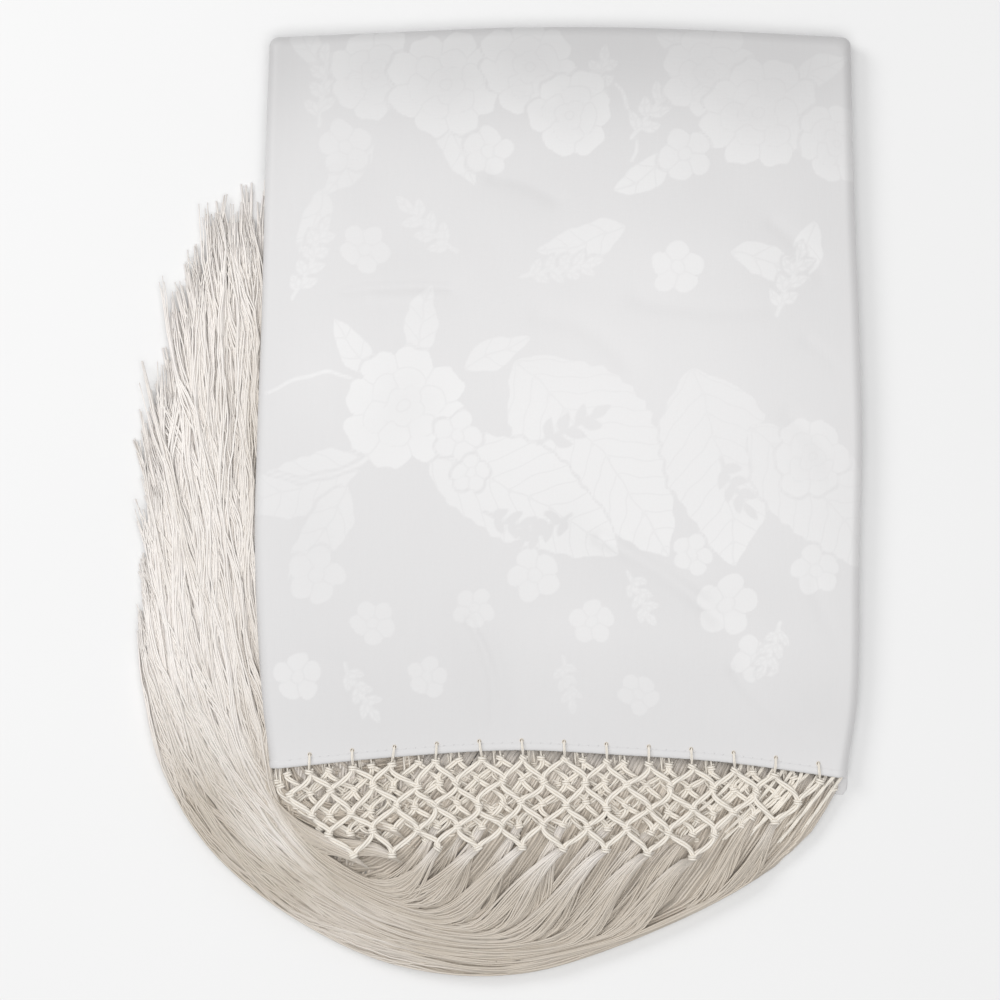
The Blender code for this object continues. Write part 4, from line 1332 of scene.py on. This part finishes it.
def cord_lines(net, knots, links, draw):
    """The line of each cord, which leaves a knot downwards and bows out into the next."""
    along = np.linspace(0.0, 1.0, 13)
    bulge = np.sin(math.pi * along)
    lines = []
    for upper, lower in links:
        (ax, ay), (bx, by) = knots[upper], knots[lower]
        x = ax + (bx - ax) * (0.1 * along + 0.9 * ease(along)) + draw.uniform(-net.loose, net.loose) * bulge
        y = ay + (by - ay) * along + draw.uniform(-1.0, 0.6) * bulge
        z = net_height(net, x, y) + draw.uniform(-0.4, 0.6) * bulge
        lines.append(placed(x, y, z))
    return np.array(lines)


def knot_wraps(places, lean, turns, width, rise, length, stations):
    """The turns of cord round each knot, as lines."""
    along = np.linspace(0.0, 1.0, stations)
    angle = 2.0 * math.pi * turns * along
    lines = []
    for (x, y, z), slant in zip(places, lean):
        u = width * np.cos(angle)
        v = length * (along - 0.5)
        turned_x = x + u * math.cos(slant) - v * math.sin(slant)
        turned_y = y + u * math.sin(slant) + v * math.cos(slant)
        lines.append(placed(turned_x, turned_y, z + rise * np.sin(angle)))
    return np.array(lines)


def tab_lines(knots):
    """The cords from each hole in the hem, over its edge, to the first row of knots."""
    lines = []
    reach = [HOLE_UP, 5.0, 3.6, 1.6, 0.0, -1.1, -2.4, -FIRST_KNOT_DROP]
    rise = [-0.2, 0.6, 0.95, 1.05, 0.9, 0.3, -0.5, -0.75]
    steps = np.linspace(0.0, 7.0, 18)
    for (row, _), (x, _) in knots.items():
        if row > 0:
            continue
        hole = FIRST_HOLE_X + HOLE_PITCH * round((x - FIRST_HOLE_X) / HOLE_PITCH)
        hem = float(hem_y_at(hole))
        face = hem_face_height(hole, hem + HOLE_UP)
        across = hole + (x - hole) * ease(steps / 7.0)
        up = hem + through(np.arange(8), reach, steps)
        lines.append(placed(across, up, face + through(np.arange(8), rise, steps)))
    return np.array(lines)


def hanger_lines(net, knots):
    """The cords of a hidden leaf's net, from under the hem to its first row of knots."""
    along = np.linspace(0.0, 1.0, 7)
    lines = []
    for (row, _), (x, y) in knots.items():
        if row > 0:
            continue
        top = float(hem_y_at(x)) + 2.6
        lines.append(placed(x, top + (y - top) * along, net.hem_z + 0.4 * (1.0 - along)))
    return np.array(lines)


def drawn_cords():
    """The cords at the hem's right end, drawn down and to the left into the outermost locks."""
    draw = random.Random(31)
    along = np.linspace(0.0, 1.0, 24)
    lines = []
    for share in np.linspace(0.0, 1.0, DRAWN_CORDS):
        x = 108.0 + 56.0 * share ** 0.8
        start = (x, float(hem_y_at(x)) + 1.0, 5.6 + draw.uniform(-1.0, 3.6))
        reach_x = -(58.0 - 25.0 * share) + draw.uniform(-3.0, 3.0)
        reach_y = -(48.0 - 6.0 * share) + draw.uniform(-2.0, 2.0)
        lag = 0.30 * (1.0 - share) + draw.uniform(-0.08, 0.12)
        up = start[1] + reach_y * along ** (1.0 - 0.5 * lag)
        line = placed(start[0] + reach_x * along ** (1.0 + lag), up, 0.0)
        line[:, 0] += draw.uniform(-1.4, 1.4) * np.sin(math.pi * along)
        line[:, 1] += draw.uniform(-1.2, 1.2) * np.sin(2.0 * math.pi * along)
        line[:, 2] = start[2] + (DRAWN_LOW - start[2]) * ease(along * 1.25 - 0.25)
        line[:, 2] += draw.uniform(0.0, 1.6) * np.sin(math.pi * along)
        lines.append(line)
    return np.array(lines)


class SHAWL_OT_nets(bpy.types.Operator):
    """Makes the knotted nets that hang from the hem, with the cords that pass through its holes"""

    bl_idname = "shawl.nets"
    bl_label = "Nets"

    def execute(self, context):
        settings = context.scene.shawl_net
        ply = settings.ply_radius / MM
        material = thread_material("net_cord_silk", settings.cord, settings.shaded, 0.5, 0.25)
        front = self.add_nets("knotted_net_front", ["net_front"], ply, material)
        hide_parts("net_front")
        under = self.add_nets("knotted_net_under", ["net_under"], ply, material)
        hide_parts("net_under")
        self.add_nets("knotted_nets_lowest", ["between", "third", "fourth"], ply, material)
        return {"FINISHED"}

    def add_nets(self, name, labels, ply, material):
        """One piece of one net or more, each with its own painted shade."""
        parts = []
        shades = []
        for label in labels:
            parts.append(joined(self.net_parts(NETS[label], label, ply)))
            shades.append(np.full(len(parts[-1][0]), NETS[label].shade))
        points, faces = joined(parts)
        return add_piece(name, points, faces, material, {"shade": np.concatenate(shades)})

    def net_parts(self, net, label, ply):
        """A net's cords, its knots, and the cords that it hangs from."""
        draw = random.Random(net.seed + 100)
        knots = net_knots(net)
        cores = cord_lines(net, knots, net_links(knots), draw)
        sides = 6 if label in ("net_front", "net_under") else 4
        parts = [twisted(cores, 3, ply, 0.74, turns=0.6, sides=sides, phase=net.seed)]
        places = [(x, y, float(net_height(net, x, y)) + 0.2) for x, y in knots.values()]
        lean = [draw.uniform(-0.6, 0.6) for _ in places]
        wraps = knot_wraps(places, lean, turns=2.0, width=1.7, rise=1.2, length=2.3, stations=19)
        parts.append(tubes(wraps, 0.62, 5, reference=UP_THE_CLOTH))
        if label == "net_front":
            tabs = tab_lines(knots)
            parts.append(twisted(tabs, 2, 0.32, 0.32, turns=0.5, sides=6, reference=ACROSS_THE_CLOTH))
            parts.append(twisted(drawn_cords(), 3, 0.58, 0.42, turns=2.0, sides=6))
        else:
            parts.append(twisted(hanger_lines(net, knots), 2, 0.5, 0.5, turns=0.4, sides=5))
        return parts


def layer_roots(layer):
    """Where a layer's locks are tied: the lowest knots of its net, or along the hem."""
    if layer.net is None:
        left = float(side_x(0.0, "left")) + 4.0
        right = float(side_x(0.0, "right")) - 4.0
        return [(x, float(hem_y_at(x)) + 1.0, 5.4) for x in np.linspace(left, right, layer.locks)]
    net = NETS[layer.net]
    return [(x, y, float(net_height(net, x, y))) for x, y in lowest_knots(net)]


def lanes_of(roots):
    """Each root's lane, its pitch, and whether its lock dives under the others."""
    diving = [root for root in roots if root[0] < DIVING_BEFORE_X]
    others = len(roots) - len(diving)
    lanes = [(DIVING_LANES * (rank + 0.5) / len(diving), DIVING_LANES / len(diving), True)
             for rank in range(len(diving))]
    return lanes + [((rank + 0.5) / others, 1.0 / others, False) for rank in range(others)]


def parted(own, station):
    """How far threads with these lanes move aside where the fringe parts."""
    moved = np.zeros_like(station)
    for parting in PARTINGS:
        aside = own - parting.share
        near = np.exp(-((station - parting.station) / parting.half_length) ** 2)
        moved += np.sign(aside) * parting.opening * near * np.exp(-(aside / (3.0 * parting.opening)) ** 2)
    return moved


def waves(draw, shape, along, slowest, fastest):
    """A gentle wave for each row, from a random pace and phase."""
    pace = draw.uniform(slowest, fastest, shape)
    phase = draw.uniform(0.0, 1.0, shape)
    return np.sin(2.0 * math.pi * (pace * along + phase))


def lane_path(lane):
    """A lane's path: its stations, its places, how far along it they lie, and the fringe's width there."""
    stations = np.linspace(0.0, len(SWEEP) - 1.0, 8 * (len(SWEEP) - 1) + 1)
    path = sweep_point(lane, stations)
    run = np.concatenate([[0.0], np.cumsum(np.linalg.norm(np.diff(path, axis=0), axis=1))])
    beside = sweep_point(lane + 0.01, stations) - sweep_point(lane - 0.01, stations)
    ahead = np.gradient(path, axis=0)
    ahead /= np.linalg.norm(ahead, axis=1, keepdims=True)
    width = np.abs(beside[:, 0] * ahead[:, 1] - beside[:, 1] * ahead[:, 0]) / 0.02
    return stations, path, run, width


def lock_lines(root, lane, pitch, dives, base, layer, draw):
    """The threads of one lock: they leave its knot together and spread over its lane of the fringe."""
    stations, path, run, width = lane_path(lane)
    knot = np.array(root[:2])
    tied = int(np.argmin(np.linalg.norm(path - knot, axis=1) + FAR * (stations > LAST_TIED)))
    drift = knot - path[tied]
    tuft = np.repeat(np.arange(layer.tufts), layer.threads)
    count = len(tuft)

    def per_tuft(low, high):
        return draw.uniform(low, high, (layer.tufts, 1))[tuft]

    def per_thread(low, high):
        return draw.uniform(low, high, (count, 1))

    def tuft_waves(slowest, fastest):
        return waves(draw, (layer.tufts, 1), along, slowest, fastest)[tuft]

    along = np.linspace(0.0, 1.0, layer.stations)[None, :]
    across = (tuft[:, None] + 0.5) / layer.tufts * 2.0 - 1.0 + per_tuft(-0.12, 0.12)
    within = per_thread(-1.0, 1.0) / layer.tufts
    own = lane + LANE_SPREAD * pitch * (across + within)
    longest = np.minimum(np.interp(own * 10.0, np.arange(11), TIP_RUNS), run[-1] - 4.0)
    longest = longest * (DIVING_LENGTH if dives else OPEN_LENGTH) * (1.0 - draw.uniform(0.0, 0.02))
    length = longest * (1.0 - per_tuft(0.0, 0.05) - per_thread(0.0, 0.035)) - run[tied]
    from_knot = length * along
    station = np.interp(run[tied] + from_knot, run, stations)
    local_width = np.interp(station, stations, width)
    gathered = ease(from_knot / GATHERED_LENGTH)
    to_tip = ease((from_knot - length + TIP_LENGTH) / TIP_LENGTH)
    turn = per_thread(0.0, 2.0 * math.pi)
    reach = np.sqrt(per_thread(0.0, 1.0))
    freeing = ease((from_knot - 60.0) / 260.0)

    # How far aside of its lane's middle each thread lies
    spread = LANE_SPREAD * pitch * (across + within * (1.0 - 0.65 * to_tip)) * local_width
    aside = ROOT_RADIUS * reach * np.cos(turn) * (1.0 - gathered) + spread * gathered
    slow = tuft_waves(0.8, 2.4)
    quick = tuft_waves(3.0, 6.0)
    wander = layer.wander * (per_tuft(0.5, 1.2) * slow + 0.35 * quick)
    aside = aside + wander * (0.3 + 1.5 * freeing) * gathered
    aside = aside + 0.6 * waves(draw, (count, 1), along, 1.5, 5.0) * (0.5 + freeing) * gathered
    aside = aside + to_tip * (per_tuft(-3.6, 3.6) + draw.normal(0.0, 1.1, (count, 1)))
    aside = aside + 0.35 * freeing * np.sin(from_knot / per_thread(2.6, 4.4) + turn)
    spare = LANE_SPREAD * pitch * local_width + 1.5
    aside = np.minimum(aside, spare + 0.35 * (aside - spare))

    # Its share of the way from the fringe's inner edge to its outer edge
    share = lane + aside / local_width
    if layer.shade < PARTED_BELOW:
        share = share + parted(own, station) * gathered
    share = np.clip(share, -0.012, 1.03)
    tuck = TUCK / np.maximum(local_width, TUCK_WIDTH)
    share = share - tuck * ease((station - 4.9) / 1.1) * (1.0 - share) ** 4

    # Its height and its place
    pile = through(np.arange(len(SWEEP)), column(SWEEP, "pile"), station)
    if dives:
        base = 0.45 * base
    reach_down = 100.0 if layer.net is None or dives else 48.0
    height = base * pile + (root[2] - base) * (1.0 - ease(from_knot / reach_down))
    height = height + 0.5 * reach * np.sin(turn)
    height = height + 0.45 * per_tuft(-1.0, 1.0) * gathered
    height = height - 0.4 * base * ease((from_knot - length + 70.0) / 70.0)
    eased = (1.0 - ease(from_knot / (34.0 + 1.1 * np.hypot(*drift))))[..., None]
    place = sweep_point(share, station) + drift * eased
    push = 8.5 * np.exp(-((station - 6.7) / 0.9) ** 2) * np.clip(1.0 - share, 0.0, 1.0) ** 4
    place[..., 0] += push * (1.0 - eased[..., 0])
    if layer.net is None and dives:
        fall = np.clip(0.5 * (root[0] + 112.0), 3.0, 34.0) * draw.uniform(0.0, 1.0)
        place[..., 1] -= fall * np.sin(math.pi * np.clip(from_knot / 130.0, 0.0, 1.0)) ** 0.8

    # Its painted shade, with some random tone: more in the deeper layers and in the diving locks, fading
    # along the lock; a little all along but near the tips; more in the hollows, over the first stretch below
    # the knot and towards the outer edge in the lower part; and a random amount for each tuft and thread
    depth_shade = layer.shade + (0.35 if dives else 0.0)
    edge_shade = ease((share - 0.4) / 0.6) * ease((9.5 - station) / 2.5) * ease((station + 0.5) / 2.0)
    before_tip = 1.0 - ease((from_knot - length + 90.0) / 90.0)
    shade = depth_shade * (1.0 - 0.80 * ease(from_knot / 190.0)) + 0.15 * before_tip
    shade = shade + spotted(POOLS, place[..., 0], place[..., 1])
    shade = shade + 0.85 * ease((from_knot + 12.0) / 60.0) * (1.0 - ease((from_knot - 50.0) / 190.0))
    shade = shade + 0.55 * edge_shade + per_tuft(-0.07, 0.12) + per_thread(-0.05, 0.05)
    return np.dstack([place, height]), np.clip(shade, 0.0, 1.0)


def hanging_threads(layer, draw):
    """The hidden leaves' threads that hang straight down behind the net at its left end."""
    along = np.linspace(0.0, 1.0, layer.stations)
    edge = column(SWEEP[:NET_STATIONS], "inner_x")[::-1], column(SWEEP[:NET_STATIONS], "inner_y")[::-1]
    lines = []
    for start in np.linspace(float(side_x(0.0, "left")) + 3.0, DIVING_BEFORE_X + 14.0, HANGING_THREADS):
        end = start - draw.uniform(2.0, 14.0)
        x = start + (end - start) * along ** 1.4 + draw.uniform(-0.8, 0.8) * np.sin(math.pi * along)
        top = float(hem_y_at(start)) + 1.0
        low = max(float(np.interp(end, *edge)) - 20.0, HANGING_LOW) - draw.uniform(0.0, 6.0)
        z = 4.6 - 3.2 * ease(along) + draw.uniform(-0.5, 0.5)
        lines.append(placed(x, top + (low - top) * along, z))
    # Painted shade, deepening towards the threads' lower ends
    shade = layer.shade + 0.2 + 0.45 * along
    return np.array(lines), np.broadcast_to(shade, (HANGING_THREADS, layer.stations))


def fringe_lines(number, layer):
    """The line of each thread in one layer of fringe, and its painted shade with some random tone."""
    draw = np.random.default_rng(40 + number)
    roots = layer_roots(layer)
    base = LOWEST_LAYER + number * LAYER_PITCH
    lines = []
    shades = []
    for root, (lane, pitch, dives) in zip(roots, lanes_of(roots)):
        line, shade = lock_lines(root, lane, pitch, dives, base, layer, draw)
        lines.append(line)
        shades.append(shade)
    if layer.net is None:
        line, shade = hanging_threads(layer, draw)
        lines.append(line)
        shades.append(shade)
    lines = np.concatenate(lines)
    lines[..., 2] = np.maximum(lines[..., 2], layer.radius + 0.03)
    return lines, np.concatenate(shades)


class SHAWL_OT_fringe(bpy.types.Operator):
    """Makes the long fringe, thread by thread, in locks that sweep round from the net"""

    bl_idname = "shawl.fringe"
    bl_label = "Fringe"

    def execute(self, context):
        settings = context.scene.shawl_fringe
        material = thread_material("fringe_silk", settings.thread, settings.shaded, 0.42, 0.3)
        for number, layer in enumerate(LAYERS):
            lines, shade = fringe_lines(number, layer)
            along = np.linspace(0.0, 1.0, layer.stations)
            radii = layer.radius * (1.0 - 0.5 * ease((along - 0.9) / 0.1))
            points, faces = tubes(lines, radii[None, :], 3, turn=0.5)
            name = f"fringe_threads_{number + 1}"
            values = {"shade": np.repeat(shade, 3, axis=1)}
            piece = add_piece(name, points, faces, material, values)
            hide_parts(f"fringe_{number + 1}")
        return {"FINISHED"}


class SHAWL_OT_declare_cloth(bpy.types.Operator):
    """Gathers the names of the pieces that hang from the front leaf, and does nothing more with them"""

    bl_idname = "shawl.declare_cloth"
    bl_label = "State the front leaf's cut"

    def execute(self, context):
        hanging = ["rolled_hem", "hem_stitches", "hem_hole_rings", "hem_hole_darks"]
        hanging += ["knotted_net_front", "knotted_net_under", "knotted_nets_lowest"]
        hanging += [f"fringe_threads_{number + 1}" for number in range(len(LAYERS))]
        return {"FINISHED"}


class SHAWL_OT_stage(bpy.types.Operator):
    """Makes the plain floor, the soft lights and the camera above the shawl"""

    bl_idname = "shawl.stage"
    bl_label = "Stage"

    def execute(self, context):
        stage = context.scene.shawl_stage
        bpy.ops.object.select_all(action="DESELECT")
        bpy.ops.mesh.primitive_plane_add(size=8.0, location=(0.0, 0.0, -0.0002))
        floor = context.active_object
        floor.name = "studio_floor"
        floor.data.materials.append(plain_material("studio_white", tuple(stage.floor), 0.8))
        self.add_light("overhead_softbox", (0.1, -0.35, 2.3), 2.2, stage.overhead_power)
        self.add_light("side_softbox", (-1.3, 0.9, 1.3), 0.8, stage.side_power)
        world = bpy.data.worlds.new("studio_air")
        world.use_nodes = True
        world.node_tree.nodes["Background"].inputs["Color"].default_value = (1.0, 1.0, 1.0, 1.0)
        world.node_tree.nodes["Background"].inputs["Strength"].default_value = 0.45
        context.scene.world = world
        context.scene.view_settings.view_transform = "Standard"
        camera_data = bpy.data.cameras.new("camera_above")
        camera_data.lens = 120.0
        camera_data.sensor_width = 36.0
        camera = bpy.data.objects.new("camera_above", camera_data)
        camera.location = (0.0, 0.0, stage.camera_height)
        context.scene.collection.objects.link(camera)
        context.scene.camera = camera
        return {"FINISHED"}

    def add_light(self, name, place, size, power):
        """A square softbox that faces the shawl."""
        light = bpy.data.lights.new(name, "AREA")
        light.shape = "SQUARE"
        light.size = size
        light.energy = power
        lamp = bpy.data.objects.new(name, light)
        lamp.location = place
        aim = -lamp.location.normalized()
        lamp.rotation_euler = aim.to_track_quat("-Z", "Y").to_euler()
        bpy.context.scene.collection.objects.link(lamp)


STEPS = (
    SHAWL_OT_front_leaf,
    SHAWL_OT_leaves_between,
    SHAWL_OT_back_leaf,
    SHAWL_OT_hem,
    SHAWL_OT_nets,
    SHAWL_OT_fringe,
    SHAWL_OT_declare_cloth,
    SHAWL_OT_stage,
)
GROUPS = {
    "shawl_cloth": ShawlCloth,
    "shawl_net": ShawlNet,
    "shawl_fringe": ShawlFringe,
    "shawl_stage": ShawlStage,
}


class SHAWL_PT_pieces(bpy.types.Panel):
    """Lists the shawl's pieces and their sizes and colours"""

    bl_idname = "SHAWL_PT_pieces"
    bl_label = "Folded shawl"
    bl_space_type = "VIEW_3D"
    bl_region_type = "UI"
    bl_category = "Shawl"

    def draw(self, context):
        for name, group in GROUPS.items():
            box = self.layout.box()
            box.label(text=group.__doc__)
            for label in group.__annotations__:
                box.prop(getattr(context.scene, name), label)
        for step in STEPS:
            self.layout.operator(step.bl_idname)


CLASSES = (*GROUPS.values(), *STEPS, SHAWL_PT_pieces)


def register():
    for made in CLASSES:
        bpy.utils.register_class(made)
    for name, group in GROUPS.items():
        setattr(bpy.types.Scene, name, bpy.props.PointerProperty(type=group))


def unregister():
    for name in GROUPS:
        delattr(bpy.types.Scene, name)
    for made in reversed(CLASSES):
        bpy.utils.unregister_class(made)


def main():
    """Makes every piece in order."""
    register()
    bpy.ops.shawl.front_leaf()
    bpy.ops.shawl.leaves_between()
    bpy.ops.shawl.back_leaf()
    bpy.ops.shawl.hem()
    bpy.ops.shawl.nets()
    bpy.ops.shawl.fringe()
    bpy.ops.shawl.declare_cloth()
    bpy.ops.shawl.stage()


if __name__ == "__main__":
    main()
